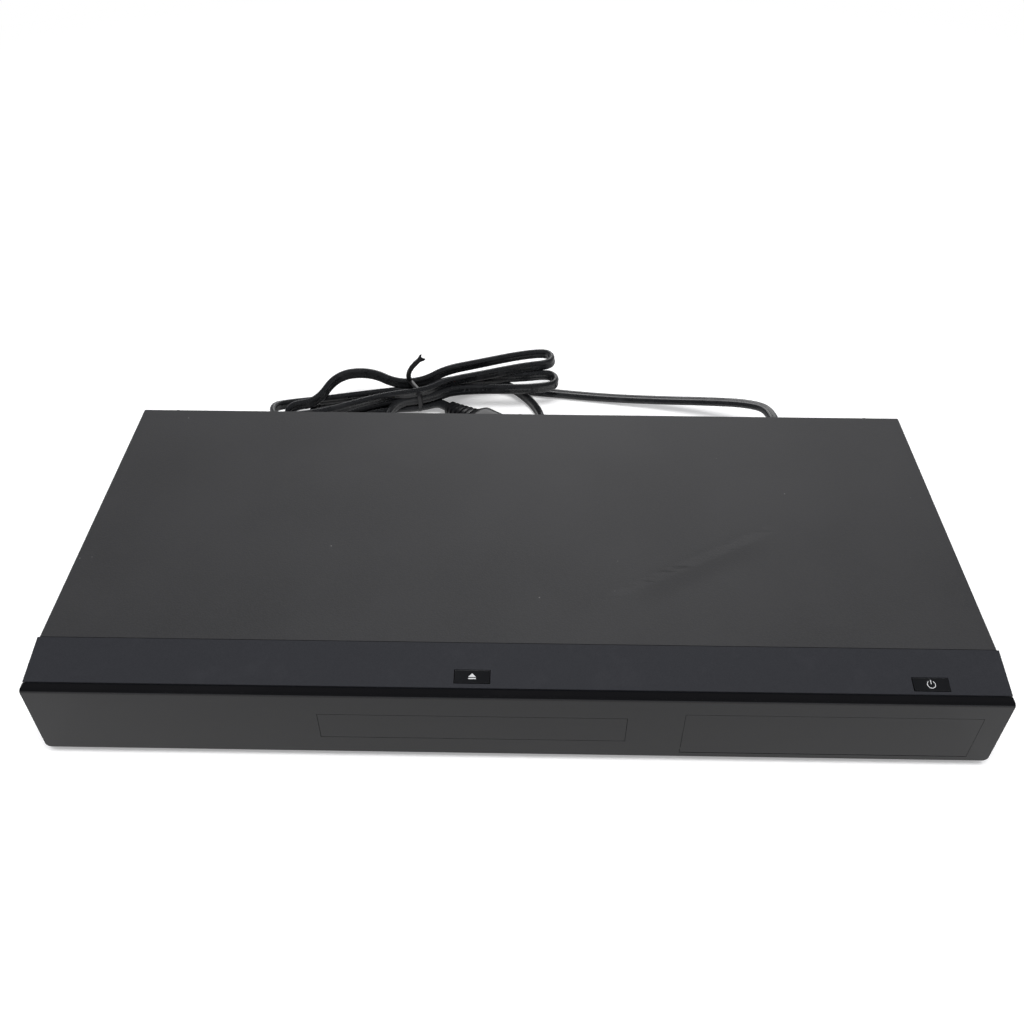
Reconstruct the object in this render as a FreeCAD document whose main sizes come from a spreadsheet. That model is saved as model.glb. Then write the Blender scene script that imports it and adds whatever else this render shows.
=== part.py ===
import FreeCAD, Part
import math
import operator
import os

import Sketcher

# A flat disc recorder with a tray, a flip-down slot door and a tied mains lead.
# X runs to the right, Y to the back and Z up. The origin is on the table, under
# the middle of the box that the recorder fills without its lead.

SIZES = {
    # Casing
    "cover_width": 430.0,
    "panel_proud": 0.5,
    "body_depth": 197.4,
    "jack_reach": 7.6,
    "total_height": 49.3,
    "foot_height": 4.0,
    "cover_sheet": 0.8,
    "base_sheet": 1.0,
    "rear_sheet": 0.8,
    "cover_flange": 6.0,
    "cover_lip": 1.5,
    "base_flange": 9.0,
    "cover_round": 1.1,
    "case_gap": 0.3,
    # Front panel and its gloss plate
    "ledge_depth": 27.1,
    "lip_height": 45.0,
    "lip_depth": 4.4,
    "lip_drop": 2.6,
    "lip_round": 1.7,
    "groove": 0.5,
    "ledge_rise": 3.9,
    "panel_wall": 2.2,
    "plate_thick": 3.0,
    "corner_round": 2.5,
    "sensor_side": 45.0,
    "sensor_z": 24.0,
    "sensor_hole": 3.5,
    # Feet
    "foot_radius": 9.0,
    "foot_stud": 2.4,
    "foot_stud_height": 0.8,
    "foot_round": 0.8,
    "foot_side": 29.0,
    "foot_front_y": 46.0,
    "foot_back": 29.4,
    # Disc tray and its bezel
    "tray_x": -19.0,
    "tray_width": 128.0,
    "tray_length": 156.0,
    "tray_bottom": 20.0,
    "tray_thick": 7.0,
    "tray_travel": 136.0,
    "tray_clearance": 0.4,
    "disc_y": 68.0,
    "disc_radius": 60.0,
    "small_disc_radius": 40.0,
    "disc_play": 0.6,
    "well_depth": 1.6,
    "small_well_depth": 1.0,
    "spindle_slot": 34.0,
    "bezel_width": 137.0,
    "bezel_bottom": 15.0,
    "bezel_height": 16.4,
    "bezel_thick": 2.6,
    "seam": 0.15,
    "edge_round": 0.08,
    # Tray rack and loading gears
    "rack_module": 1.0,
    "rack_width": 4.5,
    "rack_height": 3.2,
    "rack_inset": 4.6,
    "drive_teeth": 16.0,
    "gear_y": 20.6,
    "stage_module": 0.8,
    "stage_teeth": 22.0,
    "pinion_teeth": 11.0,
    "gear_face": 2.8,
    "gear_neck": 2.9,
    "backlash": 0.24,
    "gear_axle": 1.5,
    "axle_play": 0.06,
    "pulley_radius": 8.0,
    "pulley_height": 1.7,
    "motor_pulley_radius": 2.6,
    "belt_thick": 0.8,
    "belt_height": 1.2,
    "loading_motor_x": 41.0,
    "loading_motor_radius": 8.0,
    "motor_post_y": 5.6,
    "loading_motor_height": 6.6,
    # Loader frame, bridge and clamp
    "loader_width": 146.0,
    "loader_front": 9.0,
    "loader_length": 166.0,
    "loader_bottom": 8.0,
    "loader_top": 34.0,
    "loader_floor": 2.0,
    "loader_wall": 2.5,
    "guide_reach": 9.4,
    "guide_thick": 1.2,
    "loader_leg": 7.0,
    "bridge_depth": 28.0,
    "bridge_sheet": 1.0,
    "clamp_radius": 12.4,
    "clamp_rim": 16.0,
    "clamp_rim_thick": 1.2,
    "clamp_drop": 1.1,
    "clamp_recess": 1.1,
    "clamp_play": 0.4,
    # Traverse unit with spindle and pickup
    "traverse_slope": 2.6,
    "traverse_low": 14.6,
    "traverse_width": 66.0,
    "traverse_front": 54.0,
    "traverse_pivot_y": 148.0,
    "traverse_pivot_z": 16.9,
    "traverse_sheet": 1.2,
    "traverse_bar": 7.0,
    "pulley_gap": 0.6,
    "pivot_radius": 1.5,
    "pivot_length": 4.0,
    "pivot_play": 0.06,
    "pivot_wall": 0.3,
    "spindle_motor_radius": 12.0,
    "turntable_radius": 13.0,
    "turntable_thick": 1.6,
    "turntable_seat": 26.6,
    "hub_radius": 7.3,
    "hub_height": 1.8,
    "rod_radius": 1.0,
    "rod_spread": 28.0,
    "rod_saddle": 1.8,
    "rod_z": 17.4,
    "rod_front": 83.0,
    "rod_rear": 143.0,
    "rod_play": 0.06,
    "sled_y": 94.0,
    "sled_travel": 32.0,
    "sled_half_width": 31.0,
    "sled_half_length": 9.0,
    "sled_height": 3.1,
    "lens_house": 13.0,
    "lens_house_height": 4.8,
    "lens_radius": 3.0,
    "lens_height": 0.9,
    "screw_spread": 38.0,
    "screw_radius": 1.2,
    "screw_z": 16.2,
    "screw_pitch": 3.0,
    "sled_motor_radius": 3.5,
    "sled_motor_length": 12.4,
    # Slot door and the bay behind it
    "door_side": 10.0,
    "door_width": 130.0,
    "door_top": 34.8,
    "door_open_angle": 88.0,
    "door_heel": 2.0,
    "heel_round": 0.3,
    "pin_depth": 1.0,
    "pin_z": 9.0,
    "pin_radius": 0.5,
    "pin_play": 0.05,
    "pin_seat": 2.4,
    "bay_depth": 6.8,
    "bay_wall": 2.0,
    "bay_leg": 24.0,
    # Cartridge bay
    "cartridge_width": 80.0,
    "cartridge_thick": 12.7,
    "cartridge_length": 110.0,
    "cartridge_play": 1.0,
    "cartridge_inset": 17.0,
    "cartridge_bottom": 12.6,
    "flap_room": 1.7,
    "bay_sheet": 1.0,
    "flap_thick": 0.8,
    "flap_barrel": 0.9,
    "flap_pin": 0.45,
    "flap_open_angle": 84.0,
    # Sockets and card reader behind the door
    "usb_inset": 106.0,
    "usb_bottom": 21.0,
    "usb_width": 13.1,
    "usb_height": 5.7,
    "usb_depth": 14.0,
    "usb_tongue": 1.71,
    "usb_tongue_drop": 1.14,
    "usb_sheet": 0.4,
    "card_width": 54.0,
    "card_slit": 1.6,
    "card_inset": 21.0,
    "reader_height": 5.0,
    "reader_depth": 60.0,
    # Ledge buttons
    "button_width": 15.4,
    "button_depth": 6.1,
    "button_gap": 0.35,
    "button_travel": 0.5,
    "button_proud": 0.3,
    "button_rim": 1.4,
    "button_skirt": 1.1,
    "tray_button_x": -19.0,
    "tray_button_y": 7.3,
    "power_button_side": 33.7,
    "power_button_y": 6.7,
    "board_sheet": 1.6,
    "button_board_z": 37.3,
    "button_board_width": 32.0,
    "button_board_depth": 15.0,
    "switch_side": 5.2,
    "switch_height": 2.4,
    "switch_shell": 1.68,
    "boss_radius": 2.2,
    "boss_hole": 0.9,
    # Hard drive
    "drive_side": 7.4,
    "drive_width": 101.6,
    "drive_length": 147.0,
    "drive_height": 26.1,
    "drive_front": 30.0,
    "bracket_sheet": 1.0,
    "bracket_flange": 9.0,
    # Boards
    "board_z": 9.0,
    "main_width": 225.0,
    "main_tail": 149.0,
    "main_tail_depth": 15.0,
    "board_gap": 4.0,
    "board_back": 4.4,
    "board_depth": 61.0,
    "power_width": 74.0,
    "standoff_radius": 3.0,
    "screw_hole": 1.3,
    # Heat sink and power parts
    "chip_side": 27.0,
    "chip_thick": 2.2,
    "chip_side_gap": 21.0,
    "chip_front_gap": 22.0,
    "sink_side": 34.0,
    "sink_height": 14.0,
    "sink_base": 3.0,
    "sink_fins": 8.0,
    "fin_thick": 1.2,
    "transformer_side": 26.0,
    "transformer_height": 22.0,
    "coil_side": 20.8,
    "capacitor_radius": 8.0,
    "capacitor_height": 25.0,
    # Rear sockets
    "tuner_inset": 73.0,
    "tuner_width": 33.0,
    "tuner_depth": 42.0,
    "tuner_height": 32.0,
    "rf_radius": 4.76,
    "rf_collar": 5.6,
    "rf_collar_proud": 1.6,
    "rf_bore": 1.0,
    "rf_bore_depth": 6.0,
    "rf_pitch": 16.0,
    "hdmi_inset": 39.0,
    "hdmi_width": 15.0,
    "hdmi_height": 6.2,
    "hdmi_tongue": 1.24,
    "lan_inset": 23.0,
    "lan_width": 16.0,
    "lan_height": 13.6,
    "socket_depth": 14.0,
    "socket_proud": 1.2,
    "av_inset": 8.0,
    "av_pitch": 14.0,
    "av_radius": 4.15,
    "av_bore": 1.6,
    "av_block_height": 17.0,
    "av_block_depth": 11.0,
    "hole_gap": 0.3,
    # Fan
    "fan_side_gap": 65.0,
    "fan_side": 40.0,
    "fan_thick": 10.0,
    "fan_bore": 18.6,
    "fan_sweep": 17.6,
    "fan_hub": 9.0,
    "fan_blades": 7.0,
    "blade_tilt": 35.0,
    "blade_spare": 0.41,
    "fan_pin": 1.5,
    "grille_slot": 3.0,
    "grille_pitch": 6.0,
    "grille_slots": 5.0,
    # Case screws
    "case_screw_side": 19.0,
    "screw_head": 2.8,
    "screw_head_height": 1.6,
    "screw_shank": 1.4,
    "screw_length": 6.0,
    # Inlet, plugs and lead
    "inlet_side": 60.0,
    "inlet_z": 21.0,
    "inlet_width": 22.0,
    "inlet_height": 13.0,
    "inlet_depth": 14.0,
    "inlet_proud": 1.6,
    "recess_width": 16.0,
    "recess_height": 8.0,
    "recess_depth": 10.0,
    "pin_spread": 4.3,
    "contact_radius": 1.15,
    "contact_length": 8.0,
    "plug_gap": 0.25,
    "grip_width": 18.0,
    "grip_height": 11.0,
    "grip_length": 12.0,
    "relief_length": 16.0,
    "relief_width": 8.0,
    "relief_rings": 4.0,
    "relief_groove": 1.2,
    "cord_diameter": 5.0,
    "cord_rest": 0.1,
    # Hank: middle of its waist, its turn, and the step between its strands
    "hank_x": -69.0,
    "hank_y": 270.0,
    "hank_turn": 11.3,
    "strand_step": 5.65,
    "hank_lift": 0.9,
    "hank_shoulder": 30.0,
    "hank_end_x": -14.5,
    "hank_end_y": 287.0,
    "loop_x": -24.0,
    "loop_y": 247.5,
    "loop_radius": 38.0,
    "slack_x": -100.0,
    "slack_radius": 13.0,
    "bulge_along": -36.0,
    "bulge_across": 16.0,
    "tie_width": 3.2,
    "tie_thick": 0.6,
    "tie_round": 2.6,
    "tie_wire": 0.8,
    "tie_tail": 22.0,
    # Mains plug at the lead's end
    "mains_plug_x": -28.6,
    "mains_plug_y": 247.8,
    "mains_plug_turn": -36.0,
    "mains_plug_side": 22.0,
    "mains_plug_height": 13.0,
    "mains_relief": 20.0,
    "blade_length": 15.5,
    "blade_width": 6.3,
    "blade_thick": 1.5,
    "blade_spread": 6.35,
}

OPERATIONS = {"+": operator.add, "-": operator.sub, "*": operator.mul, "/": operator.truediv}


class Size:
    """A size: its value in millimetres and the sheet expression that gives it."""

    def __init__(self, value, text):
        self.value = value
        self.text = text

    def __add__(self, other):
        return joined(self, "+", other)

    def __radd__(self, other):
        return joined(other, "+", self)

    def __sub__(self, other):
        return joined(self, "-", other)

    def __rsub__(self, other):
        return joined(other, "-", self)

    def __mul__(self, other):
        return joined(self, "*", other)

    def __rmul__(self, other):
        return joined(other, "*", self)

    def __truediv__(self, other):
        return joined(self, "/", other)

    def __neg__(self):
        return joined(0, "-", self)


def as_size(number):
    if isinstance(number, Size):
        return number
    return Size(float(number), repr(float(number)))


def joined(left, sign, right):
    left, right = as_size(left), as_size(right)
    value = OPERATIONS[sign](left.value, right.value)
    return Size(value, f"({left.text} {sign} {right.text})")


doc = FreeCAD.newDocument("disc_recorder")
sheet = doc.addObject("Spreadsheet::Sheet", "Sizes")
for row, (alias, number) in enumerate(SIZES.items(), 1):
    sheet.set(f"A{row}", alias)
    sheet.set(f"B{row}", str(number))
    sheet.setAlias(f"B{row}", alias)
doc.recompute()


class Sheet:
    """The sheet's sizes by name."""

    def __getattr__(self, alias):
        return Size(SIZES[alias], f"Sizes.{alias}")


size = Sheet()
nodes = {}

# Lines that many pieces share
front = -(size.body_depth + size.jack_reach) / 2
back = front + size.body_depth
side_x = size.cover_width / 2
seam_y = front + size.ledge_depth
bottom = size.foot_height
top = size.total_height
cover_under = top - size.cover_sheet
inner_half = size.cover_width / 2 - size.cover_sheet
base_top = bottom + size.base_sheet
rear_outer = back - size.cover_sheet
rear_inner = rear_outer - size.rear_sheet
plate_back = front + size.plate_thick
door_left = side_x - size.door_side - size.door_width
board_top = size.board_z + size.board_sheet
fan_x = size.fan_side_gap - side_x
boards_rear = back - size.board_back
boards_front = boards_rear - size.board_depth
power_right = side_x - size.board_gap
power_left = power_right - size.power_width
inlet_x = side_x - size.inlet_side
sensor_x = size.sensor_side - side_x
main_right = power_left - size.board_gap
main_left = main_right - size.main_width

# Gear teeth: root depth in modules, pressure angle in degrees, straight steps along a flank
DEDENDUM = 1.25
PRESSURE_ANGLE = 20
FLANK_STEPS = 5
# The lead's fall from the inlet: steps right, back and up from its exit
LEAD_STEPS = ((0, 14.7, 0), (-11, 25.7, -3), (-34, 35.7, -9), (-66, 44.4, -15))
# Its way along the table: share of the way, and how far back and above the straight line
LEAD_REST = ((0.34, 1.5, 0.05), (0.7, 1.2, 0))
# Share of a straight run that the bend at its end takes up
BEND_SHARE = 0.45
# Lobes of the hank: tip along it, middle across it, and radius
LOBES = {
    "left, first": (-66, 1, 6.5),
    "right, low": (92, -6, 7),
    "left, high": (-90, -5, 11),
    "right, high": (93, 10.5, 7),
    "left, last": (-82, -9, 8),
}
# Strands beside the tie: place across the hank and lean
SHOULDERS = {
    "to the big loop": (1.5, 0.12),
    "out to the low lobe": (-6.5, -0.08),
    "back from the low lobe": (4.6, 0),
    "out to the high lobe": (-2.5, 0.12),
    "back from the high lobe": (10.5, -0.16),
}
# Layers at the start, tip and end of the last lobe
LAST_FALL = (1.6, 0.4, 0)
# Spread and backward lean of the tie's two ends, and the step of the hank's own measure
TAIL_SPREAD = 0.16
TAIL_LEAN = 0.45
SAMPLE_STEP = 1.5

PLANES = {
    "XY": ("XY_Plane", "z", 1),
    "XZ": ("XZ_Plane", "y", -1),
    "YZ": ("YZ_Plane", "x", 1),
}
AXES = {
    "x": FreeCAD.Rotation(FreeCAD.Vector(0, 1, 0), 90),
    "y": FreeCAD.Rotation(FreeCAD.Vector(1, 0, 0), -90),
    "z": FreeCAD.Rotation(),
}


def keep(piece, label):
    """Makes an object one of the exported nodes."""
    piece.Label = label
    nodes[label] = piece
    return piece


def new_body(label):
    return keep(doc.addObject("PartDesign::Body", label), label)


def sketch_on(body, plane, level, origin=(0, 0)):
    """A sketch on one of the body's own planes, moved to a level along its normal."""
    role, _, way = PLANES[plane]
    sketch = body.newObject("Sketcher::SketchObject", f"{body.Name}_sketch")
    support = next(f for f in body.Origin.OriginFeatures if f.Role == role)
    sketch.AttachmentSupport = [(support, "")]
    sketch.MapMode = "FlatFace"
    sketch.setExpression("AttachmentOffset.Base.z", (as_size(level) * way).text)
    for axis, value in zip("xy", origin):
        sketch.setExpression(f"AttachmentOffset.Base.{axis}", as_size(value).text)
    return sketch


def pin_point(sketch, geometry, corner, point):
    """Ties a corner of a sketch to two sizes."""
    for kind, value in zip(("DistanceX", "DistanceY"), point):
        rule = Sketcher.Constraint(kind, -1, 1, geometry, corner, value.value)
        index = sketch.addConstraint(rule)
        sketch.setExpression(f"Constraints[{index}]", value.text)


def draw_outline(sketch, points):
    points = [(as_size(a), as_size(b)) for a, b in points]
    spots = [FreeCAD.Vector(a.value, b.value, 0) for a, b in points]
    first, count = sketch.GeometryCount, len(points)
    for i in range(count):
        sketch.addGeometry(Part.LineSegment(spots[i], spots[(i + 1) % count]))
    for i in range(count):
        meet = (first + i, 2, first + (i + 1) % count, 1)
        sketch.addConstraint(Sketcher.Constraint("Coincident", *meet))
    for i, point in enumerate(points):
        pin_point(sketch, first + i, 1, point)


def draw_ring(sketch, a, b, radius):
    a, b, radius = as_size(a), as_size(b), as_size(radius)
    centre = FreeCAD.Vector(a.value, b.value, 0)
    circle = Part.Circle(centre, FreeCAD.Vector(0, 0, 1), radius.value)
    ring = sketch.addGeometry(circle)
    pin_point(sketch, ring, 3, (a, b))
    index = sketch.addConstraint(Sketcher.Constraint("Radius", ring, radius.value))
    sketch.setExpression(f"Constraints[{index}]", radius.text)


def rectangle(across, up):
    (left, right), (low, high) = across, up
    return [(left, low), (right, low), (right, high), (left, high)]


def feature(body, kind, plane, span, outlines, rings):
    """A pad or pocket of a drawn shape over a span along the plane's axis."""
    low, high = as_size(span[0]), as_size(span[1])
    way = PLANES[plane][2]
    adds = kind == "Pad"
    level = low if (way > 0) == adds or way < 0 and adds else high
    if way < 0:
        level = low
    sketch = sketch_on(body, plane, level)
    for outline in outlines:
        draw_outline(sketch, outline)
    for ring in rings:
        draw_ring(sketch, *ring)
    made = body.newObject(f"PartDesign::{kind}", f"{body.Name}_{kind.lower()}")
    made.Profile = sketch
    made.Reversed = adds and way < 0
    made.setExpression("Length", (high - low).text)
    return made


def prism(label, plane, span, outlines=(), rings=()):
    body = new_body(label)
    feature(body, "Pad", plane, span, outlines, rings)
    return body


def pad(body, plane, span, outlines=(), rings=()):
    feature(body, "Pad", plane, span, outlines, rings)


def pocket(body, plane, span, outlines=(), rings=()):
    doc.recompute()
    before = body.Shape.Volume
    feature(body, "Pocket", plane, span, outlines, rings)
    doc.recompute()
    if not body.Shape.Volume < before:
        raise ValueError(f"a pocket in {body.Label} cuts nothing")


def round_edges(body, radius, picks):
    """Rounds the body's edges for which picks(edge) is true."""
    doc.recompute()
    base = body.Tip
    names = [f"Edge{i}" for i, e in enumerate(base.Shape.Edges, 1) if picks(e)]
    if not names:
        raise ValueError(f"{body.Label} has no such edge")
    fillet = body.newObject("PartDesign::Fillet", f"{body.Name}_fillet")
    fillet.Base = (base, names)
    fillet.setExpression("Radius", as_size(radius).text)
    doc.recompute()


def turned(label, x, y, profile):
    """A body turned about a vertical axis; the profile is radius and height."""
    body = new_body(label)
    sketch = sketch_on(body, "XZ", y, (x, 0))
    draw_outline(sketch, profile)
    spin = body.newObject("PartDesign::Revolution", f"{body.Name}_turn")
    spin.Profile = sketch
    spin.ReferenceAxis = (sketch, ["V_Axis"])
    spin.Angle = 360
    return body


def place(piece, x, y, z):
    for axis, value in zip("xyz", (x, y, z)):
        piece.setExpression(f"Placement.Base.{axis}", as_size(value).text)


def block(x, y, z, name="block"):
    """A Part box between three pairs of sizes."""
    made = doc.addObject("Part::Box", name)
    for side, (low, high) in zip(("Length", "Width", "Height"), (x, y, z)):
        made.setExpression(side, (as_size(high) - low).text)
    place(made, x[0], y[0], z[0])
    return made


def rod(axis, radius, start, length, name="rod"):
    """A Part cylinder from a start point along an axis."""
    made = doc.addObject("Part::Cylinder", name)
    made.Placement = FreeCAD.Placement(FreeCAD.Vector(), AXES[axis])
    made.setExpression("Radius", as_size(radius).text)
    made.setExpression("Height", as_size(length).text)
    place(made, *start)
    return made


def fused(pieces, name="joined"):
    made = doc.addObject("Part::MultiFuse", name)
    made.Shapes = pieces
    made.Refine = True
    return made


def without(piece, tools, name="cut"):
    made = doc.addObject("Part::Cut", name)
    made.Base = piece
    made.Tool = fused(tools) if len(tools) > 1 else tools[0]
    made.Refine = True
    return made


def group(pieces, label):
    made = doc.addObject("Part::Compound", label)
    made.Links = pieces
    return keep(made, label)


def solid(label, shape):
    """A sub-part whose shape is worked out here from the sheet's sizes."""
    made = doc.addObject("Part::Feature", label)
    made.Shape = shape
    return keep(made, label)


def near(value, target):
    return abs(value - as_size(target).value) < 0.01


def runs_along(edge, axis):
    """True for a straight edge along one axis."""
    spread = [edge.BoundBox.XLength, edge.BoundBox.YLength, edge.BoundBox.ZLength]
    return all(length < 0.001 for i, length in enumerate(spread) if i != "xyz".index(axis))


# Outer casing
def top_cover():
    half, sheet_side = size.cover_width / 2, size.cover_sheet
    start = seam_y + size.case_gap
    shell = [
        (-half, bottom),
        (-half, top),
        (half, top),
        (half, bottom),
        (half - sheet_side, bottom),
        (half - sheet_side, cover_under),
        (sheet_side - half, cover_under),
        (sheet_side - half, bottom),
    ]
    body = prism("top_cover", "XZ", (start, back), [shell])
    hem = rectangle((-inner_half, inner_half), (cover_under - size.cover_flange, cover_under))
    pad(body, "XZ", (rear_outer, back), [hem])
    lip = rectangle((-inner_half, inner_half), (cover_under - size.cover_lip, cover_under))
    pad(body, "XZ", (start, start + sheet_side), [lip])
    round_edges(
        body,
        size.cover_round,
        lambda e: runs_along(e, "y") and near(e.BoundBox.ZMax, top),
    )
    pocket(body, "XZ", (rear_outer, back), rings=case_screw_holes(size.screw_shank + size.hole_gap))


def case_screw_spots():
    level = cover_under - size.cover_flange / 2
    across = side_x - size.case_screw_side
    return [(x, level) for x in (-across, as_size(0), across)]


def case_screw_holes(radius):
    return [(x, z, radius) for x, z in case_screw_spots()]


def foot_spots():
    rows = (front + size.foot_front_y, back - size.foot_back)
    return [(x, y) for x in (size.foot_side - side_x, side_x - size.foot_side) for y in rows]


def chassis_base():
    half = inner_half
    start = seam_y + size.case_gap
    floor = (bottom, base_top)
    body = prism("chassis_base", "XY", floor, [rectangle((-half, half), (start, rear_outer))])
    for side in (-1, 1):
        wall = sorted((side * half, side * (half - size.base_sheet)), key=lambda s: s.value)
        rise = (base_top, base_top + size.base_flange)
        pad(body, "XZ", (start, rear_inner), [rectangle(wall, rise)])
    studs = [(x, y, size.foot_stud + size.hole_gap) for x, y in foot_spots()]
    pocket(body, "XY", floor, rings=studs)
    posts = [spot for spots in standoff_spots().values() for spot in spots]
    pad(body, "XY", (base_top, size.board_z), rings=[(x, y, size.standoff_radius) for x, y in posts])
    pocket(body, "XY", (base_top, size.board_z), rings=[(x, y, size.screw_hole) for x, y in posts])


def feet():
    pads = []
    for x, y in foot_spots():
        pad_piece = rod("z", size.foot_radius, (x, y, 0), bottom)
        rounded = doc.addObject("Part::Fillet", "foot_pad")
        rounded.Base = pad_piece
        doc.recompute()
        edges = pad_piece.Shape.Edges
        low = [i for i, e in enumerate(edges, 1) if near(e.BoundBox.ZMax, 0)]
        rounded.Edges = [(i, size.foot_round.value, size.foot_round.value) for i in low]
        stud = rod("z", size.foot_stud, (x, y, bottom), size.foot_stud_height)
        pads.append(fused([rounded, stud]))
    group(pads, "feet")


def rear_panel():
    rise = (base_top, cover_under)
    body = prism("rear_panel", "XZ", (rear_inner, rear_outer), [rectangle((-inner_half, inner_half), rise)])
    gap = size.hole_gap
    holes = [
        rectangle((left - gap, right + gap), (low - gap, high + gap))
        for left, right, low, high in (hdmi_box(), lan_box(), inlet_box())
    ]
    rings = [(x, z, size.rf_collar + gap) for x, z in rf_spots()]
    rings += [(x, z, size.av_radius + gap) for x, z in av_spots()]
    rings += case_screw_holes(size.screw_shank + gap)
    pocket(body, "XZ", (rear_inner, rear_outer), holes, rings)
    slots = []
    middle = fan_z()
    for i in range(int(size.grille_slots.value)):
        level = middle + (i - (size.grille_slots - 1) / 2) * size.grille_pitch
        reach = size.fan_side / 2 - size.grille_slot
        slots.append(
            rectangle(
                (fan_x - reach, fan_x + reach),
                (level - size.grille_slot / 2, level + size.grille_slot / 2),
            )
        )
    pocket(body, "XZ", (rear_inner, rear_outer), slots)


def screws():
    """Case screws in the back and board screws, all of one kind."""
    screws = board_screws()
    for x, z in case_screw_spots():
        head = rod("y", size.screw_head, (x, back, z), size.screw_head_height)
        shank = rod("y", size.screw_shank, (x, back - size.screw_length, z), size.screw_length)
        screws.append(fused([head, shank]))
    group(screws, "screws")


# Front panel, gloss plate and door
def ledge_front():
    """Where the ledge starts, behind the groove: depth and height."""
    return front + size.lip_depth + size.groove, top - size.ledge_rise


def ledge_height(y):
    """The ledge's upper face over a depth."""
    start, low = ledge_front()
    return low + (y - start) * size.ledge_rise / (seam_y - start)


def aperture(box, gap):
    (left, right), (low, high) = box
    return rectangle((left - gap, right + gap), (low - gap, high + gap))


def bezel_box():
    half = size.bezel_width / 2
    low = size.bezel_bottom
    return (size.tray_x - half, size.tray_x + half), (low, low + size.bezel_height)


def door_box():
    right = door_left + size.door_width
    return (door_left, right), (size.pin_z - size.door_heel, size.door_top)


def pin_line():
    return front + size.pin_depth, size.pin_z


def button_spots():
    """Middle of each ledge button: across and depth."""
    half = size.button_depth / 2
    return {
        "tray_button": (size.tray_button_x, front + size.tray_button_y + half),
        "power_button": (side_x - size.power_button_side, front + size.power_button_y + half),
    }


def front_panel():
    half, wall = (size.cover_width / 2 + size.panel_proud), size.panel_wall
    ledge_y, ledge_z = ledge_front()
    step = size.lip_height - size.lip_drop
    section = [
        (plate_back, bottom),
        (seam_y, bottom),
        (seam_y, top),
        (ledge_y, ledge_z),
        (ledge_y, step),
        (plate_back, step),
    ]
    body = prism("front_panel", "YZ", (-half, half), [section])
    ceiling = ledge_height(ledge_y + wall) - wall
    hollow = [
        (plate_back + wall, bottom + wall),
        (seam_y, bottom + wall),
        (seam_y, top - wall),
        (ledge_y + wall, ceiling),
        (ledge_y + wall, step - wall),
        (plate_back + wall, step - wall),
    ]
    pocket(body, "YZ", (wall - half, half - wall), [hollow])
    reach = size.tray_width / 2 + size.tray_clearance
    tray_slot = rectangle(
        (size.tray_x - reach, size.tray_x + reach),
        (size.tray_bottom - size.rack_height - size.tray_clearance, tray_top() + size.tray_clearance),
    )
    (left, right), _ = door_box()
    bay = rectangle(
        (left - size.seam, right + size.seam),
        (bottom + wall, size.door_top + size.seam),
    )
    sensor = [(sensor_x, size.sensor_z, size.sensor_hole)]
    pocket(body, "XZ", (plate_back, plate_back + wall), [tray_slot, bay], sensor)
    board = size.button_board_z + size.board_sheet
    for x, y in button_spots().values():
        across = size.button_width / 2 + size.button_gap
        deep = size.button_depth / 2 + size.button_gap
        well = rectangle((x - across, x + across), (y - deep, y + deep))
        pocket(body, "XY", (switch_top(), top), [well])
        boss_y = boss_depth(y)
        rings = [(x + side * boss_spread(), boss_y, size.boss_radius) for side in (-1, 1)]
        pad(body, "XY", (board, ledge_height(boss_y) - wall / 2), rings=rings)
        holes = [(a, b, size.boss_hole) for a, b, _ in rings]
        pocket(body, "XY", (board, board + wall), rings=holes)
    low_edges = lambda e: runs_along(e, "y") and near(e.BoundBox.ZMin, bottom)
    round_edges(body, size.corner_round, lambda e: low_edges(e) and near(abs(e.BoundBox.XMax), half))


def boss_spread():
    return size.button_board_width / 2 - size.boss_radius - size.button_gap


def boss_depth(y):
    return y + size.button_board_depth - size.button_depth / 2 - size.boss_radius - size.panel_wall


def face_plate():
    half = (size.cover_width / 2 + size.panel_proud)
    step = size.lip_height - size.lip_drop
    section = [
        (front, bottom),
        (plate_back, bottom),
        (plate_back, step),
        (front + size.lip_depth, step),
        (front + size.lip_depth, size.lip_height),
        (front, size.lip_height),
    ]
    body = prism("face_plate", "YZ", (-half, half), [section])
    openings = [aperture(bezel_box(), size.seam), aperture(door_box(), size.seam)]
    pocket(body, "XZ", (front, plate_back), openings)
    (left, right), _ = door_box()
    y, z = pin_line()
    hole = size.pin_radius + size.pin_play
    for inner, outer in ((left - size.seam, -1), (right + size.seam, 1)):
        span = sorted((inner, inner + outer * (size.pin_seat + size.pin_play)), key=lambda s: s.value)
        pocket(body, "YZ", span, rings=[(y, z, hole)])
    round_edges(
        body,
        size.lip_round,
        lambda e: runs_along(e, "x")
        and near(e.BoundBox.YMin, front)
        and near(e.BoundBox.ZMin, size.lip_height),
    )
    round_edges(
        body,
        size.corner_round,
        lambda e: runs_along(e, "y") and near(e.BoundBox.ZMin, bottom) and near(abs(e.BoundBox.XMax), half),
    )


def slot_door():
    span, (low, high) = door_box()
    y, z = pin_line()
    body = prism("slot_door", "YZ", span, [rectangle((front, plate_back), (low, high))])
    pocket(body, "YZ", span, rings=[(y, z, size.pin_radius + size.pin_play)])
    heel = lambda e: runs_along(e, "x") and near(e.BoundBox.YMax, front) and near(e.BoundBox.ZMin, low)
    round_edges(body, size.heel_round, heel)


def door_pin():
    (left, right), _ = door_box()
    start = left - size.seam - size.pin_seat
    length = right - left + 2 * (size.seam + size.pin_seat)
    keep(rod("x", size.pin_radius, (start, *pin_line()), length), "door_pin")


def bay_lines():
    """The bay's outer and inner boxes behind the door."""
    (left, right), (_, high) = door_box()
    wall, seam = size.bay_wall, size.seam
    outer = (left - seam - wall, right + seam + wall), (bottom + size.panel_wall, high + seam + wall)
    inner = (left - seam, right + seam), (bottom + size.panel_wall + wall, high + seam)
    return outer, inner


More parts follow.
